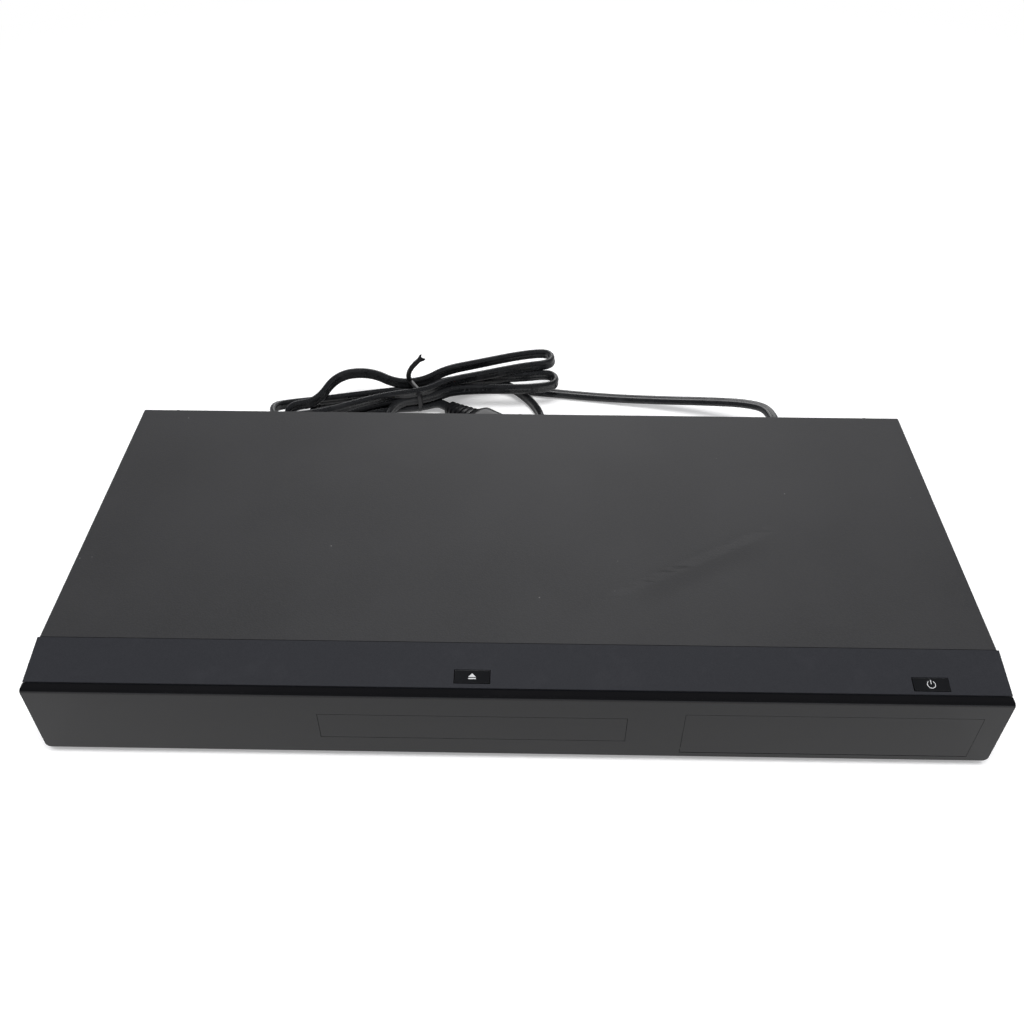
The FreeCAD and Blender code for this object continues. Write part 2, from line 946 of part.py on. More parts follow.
def bay_face():
    """The front of the bay's back wall."""
    return plate_back + size.panel_wall + size.bay_depth


def cartridge_slot():
    width = size.cartridge_width + 2 * size.cartridge_play
    height = size.cartridge_thick + size.cartridge_play + size.flap_room
    left, low = door_left + size.cartridge_inset, size.cartridge_bottom
    return (left, left + width), (low, low + height)


def usb_slot():
    left, low = door_left + size.usb_inset, size.usb_bottom
    return (left, left + size.usb_width), (low, low + size.usb_height)


def card_slot():
    _, (_, high) = cartridge_slot()
    low = high + size.bay_sheet + (size.reader_height - size.card_slit) / 2
    left = door_left + size.card_inset
    return (left, left + size.card_width + 2 * size.cartridge_play), (low, low + size.card_slit)


def slot_panel():
    outer, inner = bay_lines()
    start = plate_back + size.panel_wall
    face = bay_face()
    body = prism("slot_panel", "XZ", (start, face + size.bay_wall), [rectangle(*outer)])
    pocket(body, "XZ", (start, face), [rectangle(*inner)])
    slots = [
        rectangle(*cartridge_slot()),
        aperture(usb_slot(), size.hole_gap),
        rectangle(*card_slot()),
    ]
    pocket(body, "XZ", (face, face + size.bay_wall), slots)


# Buttons, their boards and switches
def switch_top():
    return size.button_board_z + size.board_sheet + size.switch_height


def button_foot():
    """Underside of a button at rest, over its switch."""
    return switch_top() + size.button_travel + size.case_gap


def buttons():
    foot = button_foot()
    for label, (x, y) in button_spots().items():
        half_x, half_y = size.button_width / 2, size.button_depth / 2
        near_y, far_y = y - half_y, y + half_y
        cap = [
            (near_y, foot),
            (far_y, foot),
            (far_y, ledge_height(far_y) + size.button_proud),
            (near_y, ledge_height(near_y) + size.button_proud),
        ]
        body = prism(label, "YZ", (x - half_x, x + half_x), [cap])
        rim = size.button_rim
        skirt = rectangle((x - half_x - rim, x + half_x + rim), (near_y + rim, far_y + rim))
        pad(body, "XY", (foot, foot + size.button_skirt), [skirt])
        level = ledge_height(near_y).value
        round_edges(body, size.case_gap, lambda e: e.BoundBox.ZMin > level)


def button_boards():
    boards = []
    for x, y in button_spots().values():
        half = size.button_board_width / 2
        start = y - size.button_depth / 2
        level = size.button_board_z
        board = block(
            (x - half, x + half),
            (start, start + size.button_board_depth),
            (level, level + size.board_sheet),
        )
        holes = [
            rod("z", size.boss_hole, (x + side * boss_spread(), boss_depth(y), level), size.board_sheet)
            for side in (-1, 1)
        ]
        boards.append(without(board, holes))
    group(boards, "button_boards")


def button_switches():
    switches = []
    level = size.button_board_z + size.board_sheet
    for x, y in button_spots().values():
        half = size.switch_side / 2
        shell = block((x - half, x + half), (y - half, y + half), (level, level + size.switch_shell))
        dome = rod("z", half / 2, (x, y, level), size.switch_height)
        switches.append(fused([shell, dome]))
    group(switches, "button_switches")


def sensor_board():
    wall_back = plate_back + size.panel_wall
    reach = size.sensor_hole * 4
    x, z = sensor_x, size.sensor_z
    sheet = (wall_back, wall_back + size.board_sheet)
    board = block((x - reach, x + reach), sheet, (z - reach / 2, z + reach / 2))
    lens = rod("y", size.sensor_hole - size.hole_gap, (x, plate_back + size.hole_gap, z), size.panel_wall)
    keep(fused([board, lens]), "sensor_board")


# Disc tray, rack and bezel
def tray_top():
    return size.tray_bottom + size.tray_thick


def tray_front():
    return front + size.bezel_thick


def spindle_spot():
    return size.tray_x, front + size.disc_y


def tray_bezel():
    across, up = bezel_box()
    body = prism("tray_bezel", "XZ", (front, tray_front()), [rectangle(across, up)])
    outer_rim = lambda e: near(e.BoundBox.YMax, front)
    round_edges(body, size.edge_round, outer_rim)


def disc_tray():
    half = size.tray_width / 2
    x, y = spindle_spot()
    start = tray_front()
    end = start + size.tray_length
    plan = rectangle((x - half, x + half), (start, end))
    body = prism("disc_tray", "XY", (size.tray_bottom, tray_top()), [plan])
    well = tray_top() - size.well_depth
    pocket(body, "XY", (well, tray_top()), rings=[(x, y, size.disc_radius + size.disc_play)])
    small = well - size.small_well_depth
    pocket(body, "XY", (small, well), rings=[(x, y, size.small_disc_radius + size.disc_play)])
    slot = size.spindle_slot / 2
    pocket(body, "XY", (size.tray_bottom, small), rings=[(x, y, slot)])
    run = rectangle((x - slot, x + slot), (y, end))
    pocket(body, "XY", (size.tray_bottom, tray_top()), [run])


def tray_rack_shape():
    """A straight rack under the tray's left side, its teeth towards the middle."""
    module = size.rack_module.value
    pitch = math.pi * module
    pitch_x = rack_pitch_x().value
    root = pitch_x - DEDENDUM * module
    tip = pitch_x + module
    thin = (pitch / 2 - size.backlash.value) / 2
    slope = math.tan(math.radians(PRESSURE_ANGLE))
    start = tray_front().value + pitch
    end = tray_front().value + size.tray_length.value
    gear = (front + size.gear_y).value
    first = gear - pitch * math.floor((gear - start) / pitch)
    count = int((end - first) / pitch)
    points = [(root - size.rack_width.value, start), (root, start)]
    for i in range(count):
        middle = first + i * pitch
        wide = thin + DEDENDUM * module * slope
        slim = thin - module * slope
        points += [(root, middle - wide), (tip, middle - slim), (tip, middle + slim), (root, middle + wide)]
    points += [(root, end), (root - size.rack_width.value, end)]
    low = (size.tray_bottom - size.rack_height).value
    corners = [FreeCAD.Vector(a, b, low) for a, b in points]
    outline = Part.Wire(Part.makePolygon(corners + corners[:1]))
    return Part.Face(outline).extrude(FreeCAD.Vector(0, 0, size.rack_height.value))


def rack_pitch_x():
    edge = size.tray_x - size.tray_width / 2
    return edge + size.rack_inset + size.rack_width + size.rack_module * DEDENDUM


def gear_spots():
    """Drive gear, pulley gear and motor pulley: middle of each."""
    y = front + size.gear_y
    drive = rack_pitch_x() + size.rack_module * size.drive_teeth / 2
    step = size.stage_module * (size.stage_teeth + size.pinion_teeth) / 2
    return (drive, y), (drive + step, y), (drive + size.loading_motor_x, y)


def involute(radius, angle):
    return radius * (math.cos(angle) + angle * math.sin(angle)), radius * (
        math.sin(angle) - angle * math.cos(angle)
    )


def gear_shape(module, teeth, height, turn):
    """A spur gear about Z with involute flanks; turn is the angle of its first tooth."""
    teeth = int(round(teeth))
    pitch_radius = module * teeth / 2
    base = pitch_radius * math.cos(math.radians(PRESSURE_ANGLE))
    tip = pitch_radius + module
    root = pitch_radius - DEDENDUM * module
    start = math.sqrt(max(0.0, (root / base) ** 2 - 1))
    stop = math.sqrt((tip / base) ** 2 - 1)
    at_pitch = math.sqrt((pitch_radius / base) ** 2 - 1)
    half = (math.pi / 2 - size.backlash.value / (2 * module)) / teeth
    swing = at_pitch - math.atan(at_pitch)
    flank = []
    for i in range(FLANK_STEPS + 1):
        a = start + (stop - start) * i / FLANK_STEPS
        x, y = involute(base, a)
        flank.append((math.hypot(x, y), half + swing - math.atan2(y, x)))
    if root < base:
        flank.insert(0, (root, flank[0][1]))
    points = []
    for k in range(teeth):
        middle = turn + 2 * math.pi * k / teeth
        points += [(r, middle - a) for r, a in flank] + [(r, middle + a) for r, a in reversed(flank)]
    corners = [FreeCAD.Vector(r * math.cos(a), r * math.sin(a), 0) for r, a in points]
    face = Part.Face(Part.makePolygon(corners + corners[:1]))
    return face.extrude(FreeCAD.Vector(0, 0, height))


def gear_levels():
    """Heights of the pulleys, the lower stage and the gear in the rack."""
    floor = size.loader_bottom + size.loader_floor
    pulley = floor + size.pulley_gap
    stage = pulley + size.pulley_height + size.tray_clearance
    rack = size.tray_bottom - size.rack_height + size.hole_gap / 2
    return pulley, stage, rack


def loading_gears():
    (dx, dy), (px, py), (mx, my) = gear_spots()
    pulley, stage, rack = gear_levels()
    face = size.gear_face.value
    bore = (size.gear_axle + size.axle_play).value
    stage_module = size.stage_module.value
    teeth = size.drive_teeth.value
    drive = gear_shape(size.rack_module.value, teeth, face, math.pi * (1 + 1 / teeth))
    drive.translate(FreeCAD.Vector(0, 0, rack.value))
    lower = gear_shape(stage_module, size.stage_teeth.value, face, 0)
    lower.translate(FreeCAD.Vector(0, 0, stage.value))
    neck_radius = size.gear_neck.value
    joint = Part.makeCylinder(neck_radius, (rack - stage).value, FreeCAD.Vector(0, 0, stage.value))
    hole = Part.makeCylinder(bore, 2 * tray_top().value)
    shape = drive.fuse([lower, joint]).cut(hole).removeSplitter()
    solid("drive_gear", shape).Placement.Base = FreeCAD.Vector(dx.value, dy.value, 0)
    teeth = size.pinion_teeth.value
    pinion = gear_shape(stage_module, teeth, face, math.pi * (1 + 1 / teeth))
    pinion.translate(FreeCAD.Vector(0, 0, stage.value))
    foot = FreeCAD.Vector(0, 0, pulley.value)
    wheel = Part.makeCylinder(size.pulley_radius.value, size.pulley_height.value, foot)
    neck = Part.makeCylinder(neck_radius, (stage - pulley).value, foot)
    shape = pinion.fuse([wheel, neck]).cut(hole).removeSplitter()
    solid("pulley_gear", shape).Placement.Base = FreeCAD.Vector(px.value, py.value, 0)
    small = rod("z", size.motor_pulley_radius, (mx, my, pulley), size.pulley_height)
    shaft = rod("z", size.gear_axle / 2 + size.axle_play, (mx, my, pulley), size.pulley_height)
    keep(without(small, [shaft]), "motor_pulley")


def loading_belt():
    """A flat belt round the two pulleys: two straight runs and two arcs, outside less inside."""
    _, (px, py), (mx, my) = gear_spots()
    pulley, _, _ = gear_levels()
    inside = belt_prism(px, mx, py, 0)
    outside = belt_prism(px, mx, py, size.belt_thick.value)
    low = pulley + (size.pulley_height - size.belt_height) / 2
    belt = outside.cut(inside)
    solid("loading_belt", belt).Placement.Base = FreeCAD.Vector(0, 0, low.value)


def belt_prism(big_x, small_x, y, offset):
    gap = size.hole_gap.value / 2
    big = size.pulley_radius.value + gap + offset
    small = size.motor_pulley_radius.value + gap + offset
    span = small_x.value - big_x.value
    lean = math.asin((big - small) / span)
    corners = []
    for centre, radius in ((big_x.value, big), (small_x.value, small)):
        for side in (1, -1):
            angle = side * (math.pi / 2 - lean)
            corners.append(
                FreeCAD.Vector(centre + radius * math.cos(angle), y.value + radius * math.sin(angle), 0)
            )
    big_top, big_low, small_top, small_low = corners
    far_left = FreeCAD.Vector(big_x.value - big, y.value, 0)
    far_right = FreeCAD.Vector(small_x.value + small, y.value, 0)
    edges = [
        Part.Arc(big_top, far_left, big_low).toShape(),
        Part.makeLine(big_low, small_low),
        Part.Arc(small_low, far_right, small_top).toShape(),
        Part.makeLine(small_top, big_top),
    ]
    face = Part.Face(Part.Wire(edges))
    return face.extrude(FreeCAD.Vector(0, 0, size.belt_height.value))


def loading_motor():
    _, _, (mx, my) = gear_spots()
    pulley, _, _ = gear_levels()
    low = pulley + size.pulley_height + size.tray_clearance
    can = rod("z", size.loading_motor_radius, (mx, my, low), size.loading_motor_height)
    shaft = rod("z", size.gear_axle / 2, (mx, my, pulley), low - pulley)
    keep(fused([can, shaft]), "loading_motor")


# Loader frame, bridge and clamp
def loader_frame():
    half, wall = size.loader_width / 2, size.loader_wall
    x, y = spindle_spot()
    start = front + size.loader_front
    end = start + size.loader_length
    low, floor = size.loader_bottom, size.loader_bottom + size.loader_floor
    high = size.loader_top
    ear_top = size.tray_bottom - size.tray_clearance
    pieces = [block((x - half, x + half), (start, end), (low, floor))]
    for side in (-1, 1):
        outer = x + side * half
        inner = outer - side * wall
        pieces.append(block(ordered(outer, inner), (start, end), (low, high)))
        reach = outer - side * size.guide_reach
        under = size.tray_bottom - size.hole_gap
        pieces.append(block(ordered(outer, reach), (start, end), (under - size.guide_thick, under)))
        over = tray_top() + size.hole_gap
        pieces.append(block(ordered(outer, reach), (start, end), (over, over + size.guide_thick)))
        leg = outer - side * size.loader_leg
        for depth in (seam_y + wall, end - size.loader_leg):
            pieces.append(block(ordered(outer, leg), (depth, depth + size.loader_leg), (base_top, low)))
        ear = x + side * (size.traverse_width / 2 + size.tray_clearance)
        pivot = front + size.traverse_pivot_y
        depth = (pivot - size.traverse_bar / 2, pivot + size.traverse_bar / 2)
        pieces.append(block(ordered(ear, ear + side * size.pivot_length), depth, (floor, ear_top)))
    rear = block((x - half, x + half), (end - wall, end), (low, ear_top))
    pieces.append(rear)
    pulley, stage, rack = gear_levels()
    (dx, dy), (px, py), (mx, my) = gear_spots()
    pieces.append(rod("z", size.gear_axle, (dx, dy, floor), rack + size.gear_face - floor))
    pieces.append(rod("z", size.gear_axle, (px, py, floor), stage + size.gear_face - floor))
    motor_foot = pulley + size.pulley_height + size.tray_clearance
    for side in (-1, 1):
        post_x = mx + size.loading_motor_radius / 2
        post_y = my + side * size.motor_post_y
        pieces.append(rod("z", size.gear_axle, (post_x, post_y, floor), motor_foot - floor))
    frame = fused(pieces)
    pivot_hole = rod(
        "x",
        size.pivot_radius + size.pivot_play,
        (x - half, front + size.traverse_pivot_y, size.traverse_pivot_z),
        size.loader_width,
    )
    inner = size.traverse_width / 2 + size.tray_clearance + size.pivot_length
    keeper = block(
        (x - inner, x + inner),
        (start, end),
        (floor, high),
        "pivot_zone",
    )
    doc.recompute()
    bore = doc.addObject("Part::Common", "pivot_bore")
    bore.Base, bore.Tool = pivot_hole, keeper
    keep(without(frame, [bore]), "loader_frame")


def ordered(a, b):
    """Two sizes, the lower one first."""
    a, b = as_size(a), as_size(b)
    return (a, b) if a.value <= b.value else (b, a)


def clamp_bridge():
    half = size.loader_width / 2
    x, y = spindle_spot()
    deep = size.bridge_depth / 2
    strip = rectangle((x - half, x + half), (y - deep, y + deep))
    low = size.loader_top
    hole = (x, y, size.clamp_radius + size.clamp_play)
    prism("clamp_bridge", "XY", (low, low + size.bridge_sheet), [strip], [hole])


def disc_clamp():
    x, y = spindle_spot()
    low = tray_top() + size.clamp_drop
    rest = size.loader_top + size.bridge_sheet + size.seam
    high = rest + size.clamp_rim_thick
    hub = size.hub_radius + size.disc_play
    recess = low + size.clamp_recess
    profile = [(0, recess), (hub, recess), (hub, low), (size.clamp_radius, low)]
    profile += [(size.clamp_radius, rest), (size.clamp_rim, rest)]
    turned("disc_clamp", x, y, profile + [(size.clamp_rim, high), (0, high)])


# Traverse unit, drawn level as it plays a disc, then let down to its rest
def let_down(piece):
    """Turns a piece of the traverse unit about its pivot by the resting slope."""
    piece.Placement.Rotation = FreeCAD.Rotation(FreeCAD.Vector(1, 0, 0), 1)
    y, z = front + size.traverse_pivot_y, size.traverse_pivot_z
    slope = size.traverse_slope.text
    cosine, sine = f"cos({slope} * 1 deg)", f"sin({slope} * 1 deg)"
    piece.setExpression("Placement.Rotation.Angle", slope)
    piece.setExpression("Placement.Base.y", f"{y.text} * (1 - {cosine}) + {z.text} * {sine}")
    piece.setExpression("Placement.Base.z", f"{z.text} * (1 - {cosine}) - {y.text} * {sine}")
    return piece


def moved(shape, label):
    """A node of the traverse unit, let down to its rest."""
    holder = doc.addObject("Part::Compound", label)
    holder.Links = [shape]
    return keep(let_down(holder), label)


def traverse_frame():
    x, _ = spindle_spot()
    half = size.traverse_width / 2
    low = size.traverse_low
    high = low + size.traverse_sheet
    pivot = front + size.traverse_pivot_y
    end = pivot + size.traverse_bar / 2
    plate = block((x - half, x + half), (front + size.traverse_front, end), (low, high))
    bar_top = size.traverse_pivot_z + size.pivot_radius + size.pivot_wall
    pieces = [plate, block((x - half, x + half), (end - size.traverse_bar, end), (low, bar_top))]
    wide = size.rod_radius * 2
    posts = (front + size.rod_front - wide / 2, front + size.rod_rear - wide / 2)
    for side in (-1, 1):
        at = x + side * half
        begin = at if side > 0 else at - size.pivot_length
        pieces.append(rod("x", size.pivot_radius, (begin, pivot, size.traverse_pivot_z), size.pivot_length))
        rod_x = x + side * size.rod_spread
        for depth in posts:
            rise = (low, size.rod_z + size.rod_saddle)
            pieces.append(block((rod_x - wide, rod_x + wide), (depth, depth + wide), rise))
    arm = (x + half - wide, screw_x() + wide)
    for depth in posts:
        pieces.append(block(arm, (depth, depth + wide), (low - wide / 2, size.screw_z + wide)))
    holes = []
    length = size.rod_rear - size.rod_front + wide * 2
    for side in (-1, 1):
        start = (x + side * size.rod_spread, posts[0] - wide, size.rod_z)
        holes.append(rod("y", size.rod_radius + size.rod_play, start, length))
    start = (screw_x(), posts[0] - wide, size.screw_z)
    holes.append(rod("y", size.screw_radius + size.rod_play, start, wide * 3))
    moved(without(fused(pieces), holes), "traverse_frame")


def screw_x():
    return size.tray_x + size.screw_spread


def spindle_parts():
    x, y = spindle_spot()
    level = size.traverse_low + size.traverse_sheet
    seat = size.turntable_seat
    under = seat - size.turntable_thick
    motor_top = under - size.hole_gap
    shaft = size.gear_axle
    motor = rod("z", size.spindle_motor_radius, (x, y, level), motor_top - level)
    stem = rod("z", shaft, (x, y, motor_top), seat - motor_top)
    moved(fused([motor, stem]), "spindle_motor")
    bore = shaft + size.axle_play
    disc = rod("z", size.turntable_radius, (x, y, under), size.turntable_thick)
    hub = doc.addObject("Part::Cone", "hub")
    hub.setExpression("Radius1", size.hub_radius.text)
    hub.setExpression("Radius2", (size.hub_radius - size.hole_gap * 2).text)
    hub.setExpression("Height", size.hub_height.text)
    place(hub, x, y, seat)
    hole = rod("z", bore, (x, y, under), size.turntable_thick + size.hole_gap)
    moved(without(fused([disc, hub]), [hole]), "turntable")


def pickup():
    x, _ = spindle_spot()
    y = front + size.sled_y
    low = size.traverse_low + size.traverse_sheet + size.hole_gap
    high = low + size.sled_height
    half, deep = size.sled_half_width, size.sled_half_length
    base = block((x - half, x + half), (y - deep, y + deep), (low, high))
    house = size.lens_house
    tower = block((x - house, x + house), (y - deep, y + deep), (high, high + size.lens_house_height))
    nut = (x + half, screw_x() - size.screw_radius - size.hole_gap)
    follower = block(nut, (y - size.screw_pitch, y + size.screw_pitch), (low, high))
    holes = []
    for side in (-1, 1):
        start = (x + side * size.rod_spread, y - deep, size.rod_z)
        holes.append(rod("y", size.rod_radius + size.rod_play, start, deep * 2))
    holes.append(rod("z", size.lens_radius + size.rod_play, (x, y, high), size.lens_house_height))
    moved(without(fused([base, tower, follower]), holes), "pickup_sled")
    moved(rod("z", size.lens_radius, (x, y, high), size.lens_house_height + size.lens_height), "pickup_lens")
    rods = []
    begin = front + size.rod_front - size.rod_radius
    length = size.rod_rear - size.rod_front + size.rod_radius * 2
    for side in (-1, 1):
        rods.append(rod("y", size.rod_radius, (x + side * size.rod_spread, begin, size.rod_z), length))
    together = doc.addObject("Part::Compound", "rods")
    together.Links = rods
    moved(together, "guide_rods")
    motor_end = front + size.rod_rear - size.rod_radius
    motor_start = motor_end - size.sled_motor_length
    spot = (screw_x(), begin, size.screw_z)
    moved(rod("y", size.screw_radius, spot, motor_start - begin - size.hole_gap), "lead_screw")
    spot = (screw_x(), motor_start, size.screw_z)
    moved(rod("y", size.sled_motor_radius, spot, size.sled_motor_length), "sled_motor")


# Cartridge bay, flap, sockets and reader
def bay_back():
    return bay_face() + size.bay_wall


def cartridge_bay():
    (left, right), (low, high) = cartridge_slot()
    wall = size.bay_sheet
    start = bay_back()
    end = start + size.cartridge_length + 2 * size.cartridge_play
    shell = block((left - wall, right + wall), (start, end + wall), (low - wall, high + wall))
    hollow = block((left, right), (start, end), (low, high))
    legs = [
        block(ordered(edge, edge + side * wall), (depth, depth + size.bay_leg), (base_top, low))
        for edge, side in ((left, -1), (right, 1))
        for depth in (seam_y + wall, end + wall - size.bay_leg)
    ]
    y, z = flap_line()
    pin = rod("x", size.flap_pin + size.pin_play, (left - wall, y, z), right - left + 2 * wall)
    keep(without(fused([shell, *legs]), [hollow, pin]), "cartridge_bay")


def flap_line():
    _, (_, high) = cartridge_slot()
    return bay_back() + size.flap_barrel + size.hole_gap, high - size.flap_barrel - size.hole_gap


def shutter_flap():
    (left, right), (low, _) = cartridge_slot()
    y, z = flap_line()
    gap = size.hole_gap
    half = size.flap_thick / 2
    leaf = rectangle((y - half, y + half), (low + gap, z))
    body = prism("shutter_flap", "YZ", (left + gap, right - gap), [leaf])
    pad(body, "YZ", (left + gap, right - gap), rings=[(y, z, size.flap_barrel)])
    pad(body, "YZ", (left - size.bay_sheet, right + size.bay_sheet), rings=[(y, z, size.flap_pin)])


def usb_socket():
    (left, right), (low, high) = usb_slot()
    wall = size.usb_sheet
    start = bay_face()
    end = start + size.usb_depth
    shell = block((left, right), (start, end), (low, high))
    hollow = block((left + wall, right - wall), (start, end - wall), (low + wall, high - wall))
    tongue_top = high - wall - size.usb_tongue_drop
    tongue = block(
        (left + wall * 3, right - wall * 3),
        (start + wall * 2, end - wall),
        (tongue_top - size.usb_tongue, tongue_top),
    )
    plinth = block((left, right), (bay_back(), end), (low - size.bay_wall, low))
    keep(fused([without(shell, [hollow]), tongue, plinth]), "usb_socket")


def card_reader():
    (left, right), (low, high) = card_slot()
    _, (_, tunnel) = cartridge_slot()
    wall = size.bay_sheet
    start = bay_back()
    base = tunnel + wall
    rise = (base, base + size.reader_height)
    body = block((left - wall, right + wall), (start, start + size.reader_depth), rise)
    slit = block((left, right), (start, start + size.reader_depth - wall), (low, high))
    keep(without(body, [slit]), "card_reader")


# Hard drive
def hard_drive():
    left = size.drive_side - side_x
    right = left + size.drive_width
    start = front + size.drive_front
    end = start + size.drive_length
    low = base_top + size.bracket_sheet
    high = low + size.drive_height
    gap = size.hole_gap
    body = prism(
        "hard_drive",
        "XY",
        (low, high),
        [rectangle((left, right), (start, end))],
    )
    rim = size.bracket_flange / 2
    pocket(
        body,
        "XY",
        (high - size.bracket_sheet, high),
        [
            rectangle((left + rim / 2, right - rim / 2), (start + rim / 2, start + rim)),
        ],
    )
    upright = lambda e: runs_along(e, "z") and e.BoundBox.ZLength > size.drive_height.value / 2
    round_edges(body, size.corner_round, upright)
    wall = size.bracket_sheet
    tray = block((left - gap - wall, right + gap + wall), (start, end), (base_top, low))
    sides = [
        block((left - gap - wall, left - gap), (start, end), (base_top, low + size.bracket_flange)),
        block((right + gap, right + gap + wall), (start, end), (base_top, low + size.bracket_flange)),
    ]
    keep(fused([tray, *sides]), "drive_bracket")


# Boards
def main_outline():
    step_x, step_y = main_left + size.main_tail, boards_rear - size.main_tail_depth
    return [
        (main_left, step_y),
        (step_x, step_y),
        (step_x, boards_front),
        (main_right, boards_front),
        (main_right, boards_rear),
        (main_left, boards_rear),
    ]


def standoff_spots():
    inset = size.standoff_radius + size.hole_gap
    rows = (boards_front + inset, boards_rear - inset)
    return {
        "main": [
            (main_left + inset, boards_rear - size.main_tail_depth / 2),
            (main_left + size.main_tail + inset, rows[0]),
            (main_right - inset, rows[0]),
            (main_right - inset, rows[1]),
        ],
        "power": [(x, y) for x in (power_left + inset, power_right - inset) for y in rows],
    }


def circuit_boards():
    span = (size.board_z, board_top)
    spots = standoff_spots()
    holes = [(x, y, size.screw_hole) for x, y in spots["main"]]
    prism("main_board", "XY", span, [main_outline()], holes)
    plan = rectangle((power_left, power_right), (boards_front, boards_rear))
    holes = [(x, y, size.screw_hole) for x, y in spots["power"]]
    prism("power_board", "XY", span, [plan], holes)


def board_screws():
    screws = []
    for spots in standoff_spots().values():
        for x, y in spots:
            head = rod("z", size.screw_head, (x, y, board_top), size.screw_head_height)
            shank_radius = size.screw_hole - size.hole_gap / 3
            shank = rod("z", shank_radius, (x, y, base_top + size.hole_gap), board_top - base_top)
            screws.append(fused([head, shank]))
    return screws


def heat_sink():
    x, y = main_right - size.chip_side_gap, boards_front + size.chip_front_gap
    half = size.chip_side / 2
    chip = block((x - half, x + half), (y - half, y + half), (board_top, board_top + size.chip_thick))
    keep(chip, "main_chip")
    side = size.sink_side / 2
    low = board_top + size.chip_thick
    pieces = [block((x - side, x + side), (y - side, y + side), (low, low + size.sink_base))]
    count = int(size.sink_fins.value)
    for i in range(count):
        at = x - side + (size.sink_side - size.fin_thick) * i / (size.sink_fins - 1)
        pieces.append(block((at, at + size.fin_thick), (y - side, y + side), (low, low + size.sink_height)))
    keep(fused(pieces), "heat_sink")


def power_parts():
    side = size.transformer_side / 2
    x = (power_left + power_right) / 2
    y = boards_front + size.transformer_side
    high = board_top + size.transformer_height
    core = block((x - side, x + side), (y - side, y - side / 3), (board_top, high))
    core_rear = block((x - side, x + side), (y + side / 3, y + side), (board_top, high))
    yoke = block((x - side, x + side), (y - side, y + side), (high - side / 3, high))
    coil = block((x - size.coil_side, x + size.coil_side), (y - side / 3, y + side / 3), (board_top, high))
    keep(fused([core, core_rear, yoke, coil]), "transformer")
    cans = []
    for i in (0, 1):
        at = power_right - size.capacitor_radius - size.case_gap
        depth = y + (i - 0.5) * (size.capacitor_radius * 2 + size.case_gap)
        cans.append(rod("z", size.capacitor_radius, (at, depth, board_top), size.capacitor_height))
    group(cans, "capacitors")


# Rear sockets
def rf_spots():
    middle = main_right - size.tuner_inset + size.tuner_width / 2
    level = board_top + size.tuner_height / 2
    half = size.rf_pitch / 2
    return [(middle + a * half, level + b * half) for a in (-1, 1) for b in (-1, 1)]


def av_spots():
    level = board_top + size.av_block_height / 2
    first = (main_left + size.av_inset) + size.av_pitch / 2
    return [(first + i * size.av_pitch, level) for i in range(3)]


def hdmi_box():
    left = main_right - size.hdmi_inset
    return left, left + size.hdmi_width, board_top, board_top + size.hdmi_height


def lan_box():
    left = main_right - size.lan_inset
    return left, left + size.lan_width, board_top, board_top + size.lan_height


def inlet_box():
    half, rise = size.inlet_width / 2, size.inlet_height / 2
    return inlet_x - half, inlet_x + half, size.inlet_z - rise, size.inlet_z + rise


def rear_sockets():
    reach = front + size.body_depth + size.jack_reach
    rear_wall = rear_inner - size.hole_gap
    high = board_top + size.tuner_height
    left = main_right - size.tuner_inset
    can = block((left, left + size.tuner_width), (rear_wall - size.tuner_depth, rear_wall), (board_top, high))
    barrels = [rod("y", size.rf_radius, (x, rear_wall, z), reach - rear_wall) for x, z in rf_spots()]
    collar = back + size.rf_collar_proud - rear_wall
    barrels += [rod("y", size.rf_collar, (x, rear_wall, z), collar) for x, z in rf_spots()]
    bores = [
        rod("y", size.rf_bore, (x, reach - size.rf_bore_depth, z), size.rf_bore_depth)
        for x, z in rf_spots()
    ]
    keep(without(fused([can, *barrels]), bores), "tuner")
    left = (main_left + size.av_inset)
    span = (left, left + size.av_pitch * 3)
    rise = (board_top, board_top + size.av_block_height)
    av_block = block(span, (rear_wall - size.av_block_depth, rear_wall), rise)
    barrels = [rod("y", size.av_radius, (x, rear_wall, z), reach - rear_wall) for x, z in av_spots()]
    bore_start = rear_wall - size.av_block_depth / 2
    bores = [
        rod("y", size.av_bore, (x, bore_start, z), reach - rear_wall + size.av_block_depth)
        for x, z in av_spots()
    ]
    keep(without(fused([av_block, *barrels]), bores), "av_jacks")
    wall = size.usb_sheet
    proud = back + size.socket_proud
    left, right, low, high = hdmi_box()
    shell = block((left, right), (proud - size.socket_depth, proud), (low, high))
    hollow = block(
        (left + wall, right - wall),
        (proud - size.socket_depth + wall * 2, proud),
        (low + wall, high - wall),
    )
    middle = (low + high) / 2
    tongue = block(
        (left + wall * 3, right - wall * 3),
        (proud - size.socket_depth + wall, proud - wall * 3),
        (middle - size.hdmi_tongue / 2, middle + size.hdmi_tongue / 2),
    )
    keep(fused([without(shell, [hollow]), tongue]), "hdmi_socket")
    left, right, low, high = lan_box()
    rim = wall * 4
    shell = block((left, right), (proud - size.socket_depth - rim, proud), (low, high))
    hollow = block((left + rim, right - rim), (proud - size.socket_depth, proud), (low + rim, high - rim))
    keep(without(shell, [hollow]), "lan_socket")


def ac_inlet():
    left, right, low, high = inlet_box()
    outer = back + size.inlet_proud
    start = outer - size.inlet_depth
    body = prism("ac_inlet", "XZ", (start, outer), [rectangle((left, right), (low, high))])
    x, z = inlet_x, size.inlet_z
    pocket(body, "XZ", (outer - size.recess_depth, outer), [recess_outline(0)])
    pins = [(x + side * size.pin_spread, z, size.contact_radius) for side in (-1, 1)]
    floor = outer - size.recess_depth
    pad(body, "XZ", (floor, floor + size.contact_length), rings=pins)
    foot = rectangle((left, right), (board_top, low))
    pad(body, "XZ", (start, rear_inner - size.hole_gap), [foot])


